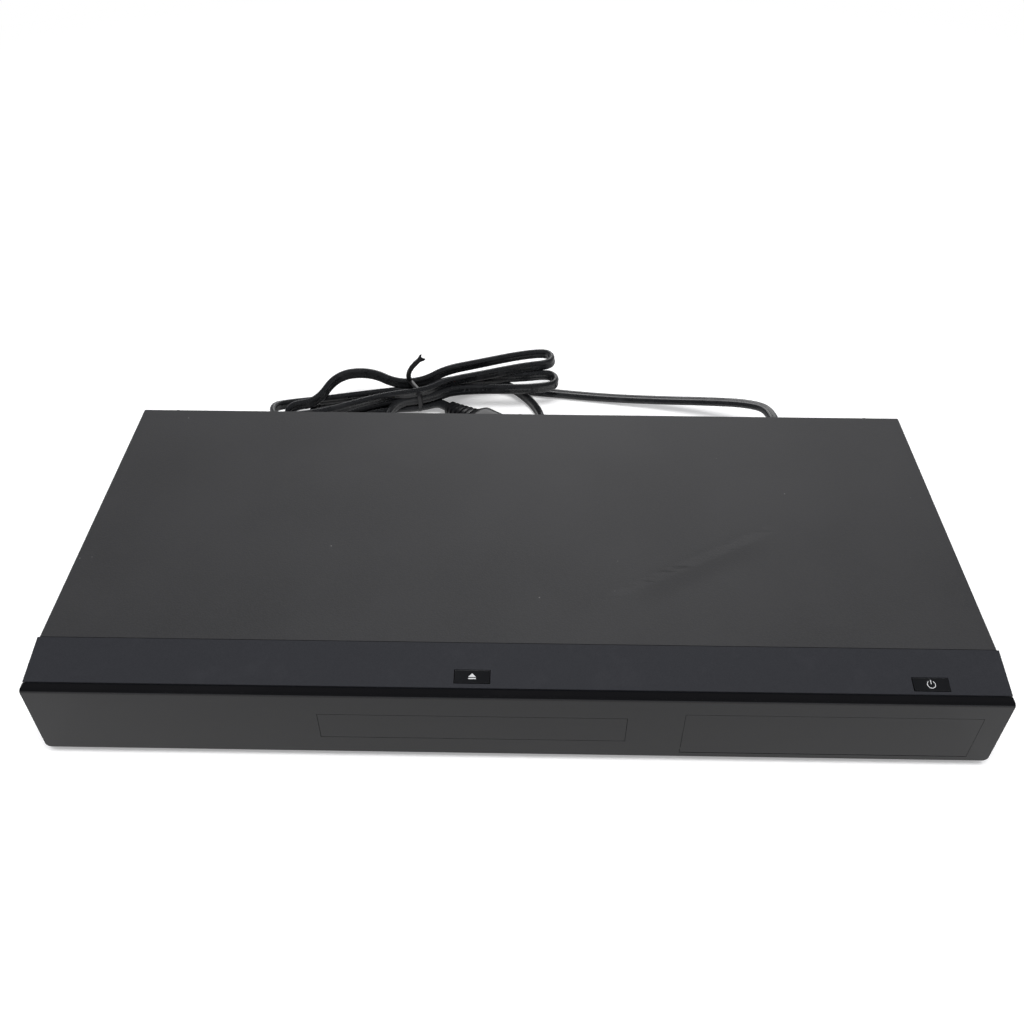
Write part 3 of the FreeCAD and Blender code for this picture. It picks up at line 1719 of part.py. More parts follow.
def recess_outline(gap):
    """A flat eight-sided recess round the inlet's two pins, drawn in by a gap."""
    x, z = inlet_x, size.inlet_z
    across = size.recess_width / 2 - gap
    up = size.recess_height / 2 - gap
    cut = size.recess_height / 4
    return [
        (x - across, z - up + cut),
        (x - across + cut, z - up),
        (x + across - cut, z - up),
        (x + across, z - up + cut),
        (x + across, z + up - cut),
        (x + across - cut, z + up),
        (x - across + cut, z + up),
        (x - across, z + up - cut),
    ]


# Fan
def fan_z():
    return base_top + size.hole_gap + size.fan_side / 2


def fan():
    x, z = fan_x, fan_z()
    half = size.fan_side / 2
    end = rear_inner - size.hole_gap
    start = end - size.fan_thick
    frame = block((x - half, x + half), (start, end), (z - half, z + half))
    bore = rod("y", size.fan_bore, (x, start, z), size.fan_thick)
    shell = without(frame, [bore])
    rib = size.fan_pin * 2
    arm = size.fan_bore + size.hole_gap
    back_rib = (end - size.fan_pin, end)
    pieces = [
        shell,
        block((x - arm, x + arm), back_rib, (z - rib / 2, z + rib / 2)),
        block((x - rib / 2, x + rib / 2), back_rib, (z - arm, z + arm)),
        rod("y", size.fan_pin, (x, start + size.fan_pin, z), size.fan_thick - size.fan_pin),
    ]
    keep(fused(pieces), "fan_frame")
    rotor_end = end - size.fan_pin - size.hole_gap
    length = (rotor_end - start).value - size.hole_gap.value
    hub = Part.makeCylinder(size.fan_hub.value, length)
    blade_length = size.fan_sweep.value - size.fan_hub.value / 2
    spare = size.blade_spare.value
    blades = []
    count = int(size.fan_blades.value)
    for i in range(count):
        blade = Part.makeBox(blade_length, size.rear_sheet.value, length + 2 * spare)
        blade.translate(FreeCAD.Vector(size.fan_hub.value / 2, -size.rear_sheet.value / 2, -spare))
        middle = FreeCAD.Vector(0, 0, length / 2)
        blade.rotate(middle, FreeCAD.Vector(1, 0, 0), size.blade_tilt.value)
        blade.rotate(FreeCAD.Vector(), FreeCAD.Vector(0, 0, 1), 360 * i / count)
        blades.append(blade)
    sweep = Part.makeCylinder(size.fan_sweep.value, length)
    rotor = hub.fuse([blade.common(sweep) for blade in blades])
    bore = Part.makeCylinder((size.fan_pin + size.axle_play).value, length)
    made = solid("fan_rotor", rotor.cut(bore).removeSplitter())
    spot = FreeCAD.Vector(x.value, (start + size.hole_gap).value, z.value)
    made.Placement = FreeCAD.Placement(spot, AXES["y"])


# Lead, plugs and hank
def inlet_plug():
    """The plug in the inlet: a nose round the two contacts, a grip and a ribbed relief."""
    x, z = inlet_x, size.inlet_z
    face = back + size.inlet_proud + size.plug_gap
    nose = face - size.recess_depth + size.hole_gap
    body = prism("inlet_plug", "XZ", (nose, face), [recess_outline(size.plug_gap)])
    across, up = size.grip_width / 2, size.grip_height / 2
    grip_end = face + size.grip_length
    pad(body, "XZ", (face, grip_end), [rectangle((x - across, x + across), (z - up, z + up))])
    pitch = size.relief_length / size.relief_rings
    for i in range(int(size.relief_rings.value)):
        start = grip_end + pitch * i
        wide = size.relief_width / 2 - size.hole_gap * i
        pad(body, "XZ", (start, start + pitch - size.relief_groove), rings=[(x, z, wide)])
        core = wide - size.relief_groove / 2
        pad(body, "XZ", (start + pitch - size.relief_groove, start + pitch), rings=[(x, z, core)])
    contacts = [(x + side * size.pin_spread, z, size.contact_radius + size.plug_gap) for side in (-1, 1)]
    pocket(body, "XZ", (nose, nose + size.contact_length), rings=contacts)


def lead_exit():
    """Where the lead leaves the relief of the plug in the inlet."""
    y = back + size.inlet_proud + size.plug_gap + size.grip_length + size.relief_length
    return FreeCAD.Vector(inlet_x.value, y.value, size.inlet_z.value)


def lead_route():
    """Corners of the free stretch: along the exit, round to the left, down, and to the hank."""
    start = lead_exit()
    rest = lowest_line()
    end = FreeCAD.Vector(size.hank_end_x.value, front.value + size.hank_end_y.value, rest)
    corners = [start] + [start + FreeCAD.Vector(*step) for step in LEAD_STEPS]
    landed = corners[-1]
    for share, aside, above in LEAD_REST:
        point = landed * (1 - share) + end * share
        corners.append(FreeCAD.Vector(point.x, point.y + aside, rest + above))
    return corners + [end]


def lowest_line():
    return (size.cord_rest + size.cord_diameter / 2).value


def rounded_route(corners):
    """Straight runs and tangent arcs along corners; prints the tightest bend."""
    edges, radii = [], []
    begin = corners[0]
    for before, corner, after in zip(corners, corners[1:], corners[2:]):
        arrive, leave = corner - before, after - corner
        turn = arrive.getAngle(leave)
        reach = BEND_SHARE * min(arrive.Length, leave.Length)
        radii.append(reach / math.tan(turn / 2))
        start = corner - arrive.normalize() * reach
        stop = corner + leave.normalize() * reach
        edges.append(Part.makeLine(begin, start))
        edges.append(bend(start, corner, stop))
        begin = stop
    edges.append(Part.makeLine(begin, corners[-1]))
    print("tightest bend of the lead", round(min(radii), 1), "mm")
    return edges


def bend(start, corner, stop):
    """The arc that touches start to corner and corner to stop."""
    chord = (start + stop) * 0.5
    lean = (corner - start).getAngle(stop - start)
    middle = chord + (corner - chord) * (math.tan(lean / 2) / math.tan(lean))
    return Part.Arc(start, middle, stop).toShape()


def tube(edges):
    """A round tube swept along edges."""
    wire = Part.Wire(edges)
    first = wire.Edges[0]
    start = first.valueAt(first.FirstParameter)
    along = first.tangentAt(first.FirstParameter)
    ring = Part.makeCircle(size.cord_diameter.value / 2, start, along)
    shell = wire.makePipeShell([Part.Wire(ring)], True, False)
    section = math.pi * (size.cord_diameter.value / 2) ** 2
    print("tube", round(wire.Length), "mm, volume over section", round(shell.Volume / section), "mm")
    return shell


def mains_lead():
    solid("mains_lead", tube(rounded_route(lead_route())))


def hank_point(along, across, height):
    """A point of the hank from its waist: along it, across it and above the table."""
    turn = math.radians(size.hank_turn.value)
    x = size.hank_x.value + along * math.cos(turn) - across * math.sin(turn)
    y = size.hank_y.value + along * math.sin(turn) + across * math.cos(turn)
    return FreeCAD.Vector(x, front.value + y, height)


def hank_heading(along, across, climb=0):
    turn = math.radians(size.hank_turn.value)
    x = along * math.cos(turn) - across * math.sin(turn)
    y = along * math.sin(turn) + across * math.cos(turn)
    return FreeCAD.Vector(x, y, climb).normalize()


def waist(column, layer, way):
    """A strand in the tie: its column and layer in the bundle, and which way it runs."""
    step = size.strand_step.value
    height = lowest_line() + size.hank_lift.value + layer * step
    return hank_point(0, column * step, height), hank_heading(way, 0)


def shoulder(name, height, way):
    """Where a strand has finished its climb beside the tie, on the side of the plug."""
    across, lean = SHOULDERS[name]
    return hank_point(size.hank_shoulder.value, across, height), hank_heading(way, lean)


def lobe(name, levels, turn):
    """The half turn at a lobe's end: where it starts, its tip and where it ends.

    The sign of tip is the side that the lobe lies on; turn is 1 when it starts on the near side.
    """
    tip, middle, radius = LOBES[name]
    way = 1 if tip > 0 else -1
    round_at = tip - way * radius
    return [
        (hank_point(round_at, middle - turn * radius, levels[0]), hank_heading(way, 0)),
        (hank_point(tip, middle, levels[1]), hank_heading(0, turn)),
        (hank_point(round_at, middle + turn * radius, levels[2]), hank_heading(-way, 0)),
    ]


def hank_stations():
    """Every strand through the waist and every lobe, in the order the lead was wound."""
    rest, step = lowest_line(), size.strand_step.value
    depth = front.value
    end = lead_route()[-1]
    along = (end - lead_route()[-2]).normalize()
    straight = size.cord_diameter.value
    east, south, west = FreeCAD.Vector(1, 0, 0), FreeCAD.Vector(0, -1, 0), FreeCAD.Vector(-1, 0, 0)
    north = FreeCAD.Vector(0, 1, 0)
    loop_x, loop_y = size.loop_x.value, depth + size.loop_y.value
    big, small = size.loop_radius.value, size.slack_radius.value
    slack_x = size.slack_x.value
    low_y = loop_y - big
    second, third, fourth = (rest + layer * step for layer in (1, 2, 3))
    stations = [(end, along), (end + along * straight, along)]
    stations.append(waist(1, 0, -1))
    stations += lobe("left, first", (rest, rest, rest), -1)
    stations.append(waist(0, 0, 1))
    stations.append(shoulder("to the big loop", second, 1))
    stations += [
        (FreeCAD.Vector(loop_x, loop_y + big, second), east),
        (FreeCAD.Vector(loop_x + big, loop_y, rest), south),
        (FreeCAD.Vector(loop_x, loop_y - big, rest), west),
        (FreeCAD.Vector(slack_x, low_y, rest), west),
        (FreeCAD.Vector(slack_x - small, low_y + small, rest + step / 2), north),
        (FreeCAD.Vector(slack_x, low_y + 2 * small, second), east),
    ]
    stations.append(waist(-1, 1, 1))
    stations.append(shoulder("out to the low lobe", third, 1))
    stations += lobe("right, low", (third, third, third), 1)
    stations.append(shoulder("back from the low lobe", third, -1))
    stations.append(waist(1, 1, -1))
    stations += lobe("left, high", (second, (second + third) / 2, third), -1)
    stations.append(waist(-1, 2, 1))
    stations.append(shoulder("out to the high lobe", fourth, 1))
    stations += lobe("right, high", (fourth, fourth, fourth), 1)
    stations.append(shoulder("back from the high lobe", fourth, -1))
    stations.append(waist(1, 2, -1))
    bulge = hank_point(size.bulge_along.value, size.bulge_across.value, fourth)
    stations.append((bulge, hank_heading(-1, 0)))
    falling = [rest + layer * step for layer in LAST_FALL]
    stations += lobe("left, last", falling, -1)
    stations.append(waist(-1, 0, 1))
    plug, heading = mains_plug_end()
    stations += [(plug - heading * straight, heading), (plug, heading)]
    return stations


def joined_stations(stations):
    """Two tangent arcs between every two stations."""
    edges = []
    for (start, leave), (stop, arrive) in zip(stations, stations[1:]):
        gap = stop - start
        if gap.getAngle(leave) < 0.001 and gap.getAngle(arrive) < 0.001:
            edges.append(Part.makeLine(start, stop))
            continue
        both = gap.dot(leave + arrive)
        spread = 2 * (1 - leave.dot(arrive))
        if spread < 0.0001:
            reach = gap.dot(gap) / (2 * both)
        else:
            reach = (math.sqrt(both ** 2 + spread * gap.dot(gap)) - both) / spread
        first, second = start + leave * reach, stop - arrive * reach
        middle = (first + second) * 0.5
        edges += [bend(start, first, middle), bend(middle, second, stop)]
    return edges


def hank_gap(edges):
    """Least free space between two strands of the hank, measured on points of its line."""
    wire = Part.Wire(edges)
    points = wire.discretize(Distance=SAMPLE_STEP)
    skip = int(size.cord_diameter.value * 3 / SAMPLE_STEP)
    far = size.cord_diameter.value * 2
    least = far
    for i, a in enumerate(points):
        for b in points[i + skip:]:
            if abs(a.x - b.x) < far and abs(a.y - b.y) < far:
                least = min(least, a.distanceToPoint(b))
    return least - size.cord_diameter.value


def lead_hank():
    edges = joined_stations(hank_stations())
    radii = [e.Curve.Radius for e in edges if hasattr(e.Curve, "Radius")]
    print("tightest bend of the hank", round(min(radii), 1), "mm")
    print("least gap in the hank", round(hank_gap(edges), 2), "mm")
    solid("lead_hank", tube(edges))


def mains_plug_end():
    """Where the lead enters the mains plug, and the way that the plug points."""
    turn = math.radians(size.mains_plug_turn.value)
    heading = FreeCAD.Vector(math.cos(turn), math.sin(turn), 0)
    body = FreeCAD.Vector(
        size.mains_plug_x.value,
        front.value + size.mains_plug_y.value,
        (size.cord_rest + size.mains_plug_height / 2).value,
    )
    return body - heading * size.mains_relief.value, heading


def mains_plug():
    """A flat two-blade plug with a ribbed relief, drawn along X and then laid in its place."""
    relief = size.mains_relief.value
    side, height = size.mains_plug_side.value, size.mains_plug_height.value
    body = Part.makeBox(side, side, height, FreeCAD.Vector(relief, -side / 2, -height / 2))
    edges = [e for e in body.Edges if e.BoundBox.ZLength > height / 2]
    body = body.makeFillet(size.tie_round.value, edges)
    along = FreeCAD.Vector(1, 0, 0)
    rings = int(size.relief_rings.value)
    pitch = relief / rings
    groove = size.relief_groove.value
    pieces = []
    for i in range(rings):
        wide = size.relief_width.value / 2 - size.hole_gap.value * (rings - 1 - i)
        at = FreeCAD.Vector(i * pitch, 0, 0)
        pieces.append(Part.makeCylinder(wide - groove / 2, pitch, at, along))
        pieces.append(Part.makeCylinder(wide, pitch - groove, at + along * groove, along))
    blade, thick = size.blade_width.value, size.blade_thick.value
    for way in (-1, 1):
        corner = FreeCAD.Vector(relief + side, way * size.blade_spread.value - thick / 2, -blade / 2)
        pieces.append(Part.makeBox(size.blade_length.value, thick, blade, corner))
    plug = solid("mains_plug", body.fuse(pieces).removeSplitter())
    spot, _ = mains_plug_end()
    turn = FreeCAD.Rotation(FreeCAD.Vector(0, 0, 1), size.mains_plug_turn.value)
    plug.Placement = FreeCAD.Placement(spot, turn)


def twist_tie():
    """A flat band round the waist with its twisted ends standing up."""
    step, radius = size.strand_step.value, size.cord_diameter.value / 2
    inside = radius + size.hole_gap.value
    half = step + inside
    low = lowest_line() + size.hank_lift.value - inside
    high = low + 2 * (step + inside)
    thick, wide = size.tie_thick.value, size.tie_width.value
    def ring(extra):
        corner = FreeCAD.Vector(-wide / 2, -half - extra, low - extra)
        box = Part.makeBox(wide, 2 * (half + extra), high - low + 2 * extra, corner)
        edges = [e for e in box.Edges if e.BoundBox.XLength > wide / 2]
        return box.makeFillet(size.tie_round.value + extra, edges)
    band = ring(thick).cut(ring(0))
    foot = FreeCAD.Vector(0, 0, high)
    tail = size.tie_tail.value
    tails = []
    for way in (-1, 1):
        lean = FreeCAD.Vector(way * TAIL_SPREAD, TAIL_LEAN, 1).normalize()
        tails.append(Part.makeCylinder(size.tie_wire.value, tail, foot, lean))
    tie = solid("twist_tie", band.fuse(tails).removeSplitter())
    turn = FreeCAD.Rotation(FreeCAD.Vector(0, 0, 1), size.hank_turn.value)
    spot = FreeCAD.Vector(size.hank_x.value, front.value + size.hank_y.value, 0)
    tie.Placement = FreeCAD.Placement(spot, turn)


top_cover()
chassis_base()
feet()
rear_panel()
screws()
front_panel()
face_plate()
slot_door()
door_pin()
slot_panel()
buttons()
button_boards()
button_switches()
sensor_board()
tray_bezel()
disc_tray()
loading_gears()
loading_belt()
loading_motor()
loader_frame()
clamp_bridge()
disc_clamp()
traverse_frame()
spindle_parts()
pickup()
cartridge_bay()
shutter_flap()
usb_socket()
card_reader()
hard_drive()
circuit_boards()
heat_sink()
power_parts()
rear_sockets()
ac_inlet()
fan()
solid("tray_rack", tray_rack_shape())
inlet_plug()
mains_plug()
mains_lead()
lead_hank()
twist_tie()


def check(piece):
    if piece.Shape.isNull() or not piece.Shape.isValid() or not piece.Shape.Solids:
        raise ValueError(f"{piece.Label} has no valid shape")


doc.recompute()
for made in doc.Objects:
    if "Invalid" in made.State or "Error" in made.State:
        raise ValueError(f"{made.Label} failed: {made.State}")
for piece in nodes.values():
    check(piece)
os.makedirs("parts", exist_ok=True)
for label, piece in nodes.items():
    piece.Shape.exportStep(f"parts/{label}.step")
print(len(nodes), "nodes")
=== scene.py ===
"""Looks of a flat disc recorder: its finishes, its small details and its tied mains lead."""

import math

import bpy
import numpy as np
from mathutils import Matrix, Vector


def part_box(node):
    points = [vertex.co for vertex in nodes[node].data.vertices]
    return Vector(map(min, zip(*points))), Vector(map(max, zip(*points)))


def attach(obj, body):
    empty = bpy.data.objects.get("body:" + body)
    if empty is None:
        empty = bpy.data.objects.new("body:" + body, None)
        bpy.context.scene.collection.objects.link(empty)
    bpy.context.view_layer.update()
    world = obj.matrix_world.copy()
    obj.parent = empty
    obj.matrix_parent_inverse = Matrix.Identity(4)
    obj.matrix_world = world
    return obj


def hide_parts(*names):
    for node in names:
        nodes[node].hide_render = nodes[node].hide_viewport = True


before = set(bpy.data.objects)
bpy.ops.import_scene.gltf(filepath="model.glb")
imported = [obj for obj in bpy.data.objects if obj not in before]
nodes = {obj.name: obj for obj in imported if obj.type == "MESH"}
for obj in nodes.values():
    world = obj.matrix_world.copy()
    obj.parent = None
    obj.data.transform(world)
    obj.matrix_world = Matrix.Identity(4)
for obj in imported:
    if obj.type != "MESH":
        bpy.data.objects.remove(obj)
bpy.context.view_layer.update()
MM = 0.001
WHITE = (1.0, 1.0, 1.0, 1.0)


# Camera: fitted to the photograph, all lengths in millimetres
EYE = (2.207, -378.54, 405.40)
PITCH, YAW, ROLL = 0.73914, -0.01382, 0.00348
FOCAL_PIXELS, FRAME_PIXELS = 1035, 1024


def set_camera():
    """Looks along pitch below the horizon and yaw to the side, then rolls about that line."""
    level_reach, drop = math.cos(PITCH), math.sin(PITCH)
    ahead = np.array([math.sin(YAW) * level_reach, math.cos(YAW) * level_reach, -drop])
    level = np.array([math.cos(YAW), -math.sin(YAW), 0])
    upright = np.cross(level, ahead)
    right = level * math.cos(ROLL) + upright * math.sin(ROLL)
    up = upright * math.cos(ROLL) - level * math.sin(ROLL)
    camera = bpy.data.objects.new("camera", bpy.data.cameras.new("camera"))
    turn = Matrix((right, up, -ahead)).transposed().to_4x4()
    camera.matrix_world = Matrix.Translation(Vector(EYE) * MM) @ turn
    camera.data.lens = camera.data.sensor_width * FOCAL_PIXELS / FRAME_PIXELS
    camera.data.clip_start = 0.01
    bpy.context.collection.objects.link(camera)
    bpy.context.scene.camera = camera


set_camera()


# Shader maths
class Wire:
    """One output of a finish; arithmetic on it adds Math nodes."""

    def __init__(self, finish, socket):
        self.finish, self.socket = finish, socket

    def math(self, operation, *terms):
        return self.finish.node("ShaderNodeMath", {"operation": operation}, dict(enumerate(terms)))

    def __add__(self, other):
        return self.math("ADD", self, other)

    def __sub__(self, other):
        return self.math("SUBTRACT", self, other)

    def __rsub__(self, other):
        return self.math("SUBTRACT", other, self)

    def __mul__(self, other):
        return self.math("MULTIPLY", self, other)

    def __truediv__(self, other):
        return self.math("DIVIDE", self, other)

    def __abs__(self):
        return self.math("ABSOLUTE", self)

    __radd__, __rmul__ = __add__, __mul__

    def sine(self):
        return self.math("SINE", self)

    def root(self):
        return self.math("SQRT", self)

    def larger(self, other):
        return self.math("MAXIMUM", self, other)

    def smaller(self, other):
        return self.math("MINIMUM", self, other)

    def rise(self, low, high):
        """0 up to low, 1 from high on, and a smooth step between them."""
        ends = {"Value": self, "From Min": low, "From Max": high}
        return self.finish.node("ShaderNodeMapRange", {"interpolation_type": "SMOOTHSTEP"}, ends)

    def parts(self):
        """The three numbers of a vector."""
        split = {"Vector": self}
        return [self.finish.node("ShaderNodeSeparateXYZ", {}, split, axis) for axis in "XYZ"]


class Finish:
    """One material or world, with its nodes added by the methods below. Lengths are in metres."""

    def __init__(self, name, world=None, coordinates="Object"):
        self.material = world or bpy.data.materials.new(name)
        self.material.use_nodes = True
        self.tree = self.material.node_tree
        self.tree.nodes.clear()
        self.spot = self.node("ShaderNodeTexCoord", {}, {}, coordinates)

    def node(self, kind, settings, sockets, output=0):
        """Adds a node: its settings are set first, then the values or links of its sockets."""
        made = self.tree.nodes.new(kind)
        for name, value in settings.items():
            setattr(made, name, value)
        for name, value in sockets.items():
            if isinstance(value, Wire):
                self.tree.links.new(value.socket, made.inputs[name])
            else:
                made.inputs[name].default_value = value
        return Wire(self, made.outputs[output])

    def scaled(self, across, along, up, turn=0.0):
        """Object coordinates stretched along the three axes, after a turn about the vertical one."""
        settings = {"Vector": self.spot, "Scale": (across, along, up), "Rotation": (0, 0, turn)}
        return self.node("ShaderNodeMapping", {}, settings)

    def noise(self, feature, detail=2.0, spot=None, rough=0.5):
        """Cloudy noise between 0 and 1 whose features are about one feature long."""
        sockets = {"Vector": spot or self.spot, "Scale": 1 / feature}
        return self.node("ShaderNodeTexNoise", {}, {**sockets, "Detail": detail, "Roughness": rough})

    def cells(self, feature, spot=None, output="Distance"):
        """Cells about one feature wide: the distance to a cell's point, or its own colour."""
        sockets = {"Vector": spot or self.spot, "Scale": 1 / feature}
        return self.node("ShaderNodeTexVoronoi", {}, sockets, output)

    def blend(self, amount, first, second):
        """The first colour where amount is 0 and the second where it is 1."""
        sockets = {0: amount, 6: first, 7: second}
        return self.node("ShaderNodeMix", {"data_type": "RGBA"}, sockets, 2)

    def bump(self, height, depth):
        """A normal for a surface that stands depth metres out where height is 1."""
        return self.node("ShaderNodeBump", {}, {"Height": height, "Distance": depth})

    def surface(self, **sockets):
        """Ends the finish in one Principled surface; names use _ for a space."""
        named = {name.replace("_", " "): value for name, value in sockets.items()}
        self.end(self.node("ShaderNodeBsdfPrincipled", {}, named))
        return self.material

    def end(self, shader, kind="ShaderNodeOutputMaterial"):
        output = self.tree.nodes.new(kind)
        self.tree.links.new(shader.socket, output.inputs["Surface"])


def screen(*levels):
    """The linear colour that shows as these 8-bit screen levels."""
    share = np.array(levels) / 255
    curve = np.where(share <= 0.04045, share / 12.92, ((share + 0.055) / 1.055) ** 2.4)
    return (*curve.tolist(), 1.0)


# Finishes
MARK_WAY, MARK_ALONG, MARK_ACROSS = (0.87, 0.5), 0.064, -0.062


def cover_paint():
    """Charcoal paint: a fine orange-peel grain, dust specks and one rubbed diagonal mark."""
    f = Finish("cover_paint")
    grain = f.noise(0.0007, 3.0)
    cloud = f.noise(0.06, 3.0)
    x, y, _ = f.spot.parts()
    # The mark runs from its left end towards the back at the right, as thin broken streaks
    ahead, aside = MARK_WAY
    along = x * ahead + y * aside - MARK_ALONG
    across = y * ahead - x * aside - MARK_ACROSS
    streaks = f.noise(0.0024, 3.0, f.scaled(0.16, 1, 1, -0.52))
    near = (1 - (abs(across) / 0.0042).rise(0.3, 1.0)) * (1 - (abs(along) / 0.058).rise(0.5, 1.0))
    rubbed = near * streaks.rise(0.5, 0.72) * 0.55
    beside = 1 - (abs(across + 0.004) / 0.013).rise(0.2, 1.0)
    broad = beside * (1 - (abs(along) / 0.05).rise(0.4, 1.0)) * 0.22
    dark = f.blend(cloud.rise(0.3, 0.7), screen(48, 48, 49), screen(52, 52, 53))
    body = f.blend(grain.rise(0.35, 0.7) * 0.35, dark, screen(62, 62, 63))
    body = f.blend((rubbed + broad).smaller(1), body, screen(26, 26, 28))
    speck = (1 - f.cells(0.013).rise(0.018, 0.034)) * f.noise(0.03).rise(0.5, 0.62)
    body = f.blend(speck * 0.45, body, screen(150, 150, 148))
    rough = 0.5 + grain * 0.12 - near * 0.12
    return f.surface(Base_Color=body, Roughness=rough, Normal=f.bump(grain, 0.00006), IOR=1.45)


def ledge_plastic():
    """Satin blue-grey plastic with a spark-eroded grain and faint finger marks."""
    f = Finish("ledge_plastic")
    grain = f.noise(0.0004, 2.0)
    touch = f.noise(0.014, 4.0, rough=0.65).rise(0.52, 0.72)
    body = f.blend(grain.rise(0.3, 0.7), screen(41, 42, 46), screen(49, 50, 54))
    body = f.blend(touch * 0.12, body, screen(68, 68, 72))
    rough = 0.4 + grain * 0.1 - touch * 0.06
    return f.surface(Base_Color=body, Roughness=rough, Normal=f.bump(grain, 0.00003))


def gloss_black():
    """Piano-black plastic: a clear skin over black, faint swirls, smudges and dust."""
    f = Finish("gloss_black")
    smudge = f.noise(0.03, 4.0, f.scaled(0.5, 1, 1.4), 0.6).rise(0.5, 0.75)
    swirl = f.noise(0.0006, 2.0, f.scaled(0.05, 1, 0.6))
    dust = (1 - f.cells(0.006).rise(0.02, 0.04)) * f.noise(0.01).rise(0.55, 0.65)
    body = f.blend(smudge * 0.3, screen(9, 9, 11), screen(17, 17, 19))
    body = f.blend(dust * 0.35, body, screen(120, 120, 118))
    rough = 0.09 + smudge * 0.11 + swirl * 0.05
    return f.surface(
        Base_Color=body,
        Roughness=rough,
        Normal=f.bump(f.noise(0.02, 1.0), 0.00004),
        Specular_IOR_Level=0.42,
    )


def moulded(name, low, high, rough=0.5, grain=0.0006, depth=0.00004):
    """Moulded plastic: a grained skin, faint flow clouds and slightly shinier rubbed patches."""
    f = Finish(name)
    skin = f.noise(grain, 2.0)
    flow = f.noise(0.02, 3.0, f.scaled(1, 0.35, 1))
    body = f.blend(flow.rise(0.35, 0.65) * 0.7 + skin * 0.3, screen(*low), screen(*high))
    return f.surface(
        Base_Color=body, Roughness=(rough - 0.06) + flow * 0.12, Normal=f.bump(skin, depth)
    )


def zinc_sheet(name, low, high):
    """Zinc-coated sheet: crystal spangles that each take the light a little differently, and haze."""
    f = Finish(name)
    spangle = f.cells(0.0045, output="Color")
    shade = spangle.parts()[0]
    rolled = f.noise(0.0008, 2.0, f.scaled(1, 0.06, 1))
    haze = f.noise(0.05, 4.0).rise(0.4, 0.75)
    body = f.blend(shade * 0.3 + rolled * 0.5 + 0.1, screen(*low), screen(*high))
    body = f.blend(haze * 0.25, body, screen(150, 150, 148))
    rough = 0.36 + shade * 0.05 + haze * 0.08
    return f.surface(Base_Color=body, Roughness=rough, Metallic=0.9, Normal=f.bump(rolled, 0.00002))


def brushed(name, low, high, rough=0.28, lines=(0.04, 1, 1), metal=1.0):
    """Metal with fine parallel lines from rolling or turning."""
    f = Finish(name)
    line = f.noise(0.0004, 3.0, f.scaled(*lines))
    cloud = f.noise(0.02, 3.0)
    body = f.blend(line * 0.6 + cloud * 0.4, screen(*low), screen(*high))
    return f.surface(
        Base_Color=body, Roughness=rough + line * 0.14, Metallic=metal, Normal=f.bump(line, 0.000015)
    )


def black_screw():
    """Black-plated steel, worn to bare metal in spots."""
    f = Finish("black_screw")
    worn = f.noise(0.0011, 4.0, rough=0.7).rise(0.6, 0.74)
    body = f.blend(worn, screen(28, 28, 30), screen(150, 150, 152))
    return f.surface(Base_Color=body, Roughness=0.34 + worn * 0.1, Metallic=0.85)


def rubber(name, low, high):
    """Dull rubber with a dusty bloom."""
    f = Finish(name)
    bloom = f.noise(0.004, 5.0, rough=0.7)
    body = f.blend(bloom.rise(0.35, 0.75), screen(*low), screen(*high))
    pores = f.bump(f.noise(0.0004), 0.00004)
    return f.surface(Base_Color=body, Roughness=0.7 + bloom * 0.15, Normal=pores)


def board(name, mask_low, mask_high, copper, rough=0.36):
    """A circuit board: lacquer over raised tracks that run square, and tinned pads."""
    f = Finish(name)
    x, y, _ = f.spot.parts()
    lane = f.cells(0.006, f.scaled(1, 0.3, 1), "Color").parts()[0].rise(0.45, 0.5)
    track_x = (x * 2600).sine().rise(0.35, 0.6) * lane
    track_y = (y * 2600).sine().rise(0.35, 0.6) * (1 - lane)
    track = track_x.larger(track_y)
    pad = 1 - f.cells(0.0042).rise(0.16, 0.2)
    pad = pad * f.noise(0.008).rise(0.48, 0.52)
    body = f.blend(track, screen(*mask_low), screen(*mask_high))
    body = f.blend(pad, body, screen(*copper))
    relief = f.bump(track * 0.5 + pad * 0.6, 0.00005)
    return f.surface(Base_Color=body, Roughness=rough - pad * 0.08, Metallic=pad * 0.9, Normal=relief)


def acetal():
    """Natural acetal: milky white with a waxy sheen and a trace of grey grease."""
    f = Finish("acetal")
    grease = f.noise(0.003, 4.0, rough=0.7).rise(0.55, 0.75)
    body = f.blend(grease * 0.4, screen(226, 225, 219), screen(178, 178, 172))
    return f.surface(
        Base_Color=body, Roughness=0.4 - grease * 0.12, Subsurface_Weight=0.15, Subsurface_Scale=0.001
    )


def tray_plastic():
    """The tray's black plastic: eroded grain, with fine arcs rubbed into it by discs."""
    f = Finish("tray_plastic")
    low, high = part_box("disc_tray")
    x, y, _ = f.spot.parts()
    off_x, off_y = x - float(low.x + high.x) / 2, y - DISC_Y * MM
    radius = (off_x * off_x + off_y * off_y).root()
    arcs = f.noise(0.0007, 2.0, f.node("ShaderNodeCombineXYZ", {}, {"X": radius, "Y": y * 0.03}))
    rubbed = arcs.rise(0.62, 0.75) * f.noise(0.02).rise(0.4, 0.7) * (1 - radius.rise(0.058, 0.062))
    grain = f.noise(0.0005)
    body = f.blend(grain, screen(33, 33, 35), screen(43, 43, 45))
    body = f.blend(rubbed * 0.4, body, screen(78, 78, 80))
    rough = 0.5 - rubbed * 0.16 + grain * 0.06
    return f.surface(Base_Color=body, Roughness=rough, Normal=f.bump(grain, 0.00004))


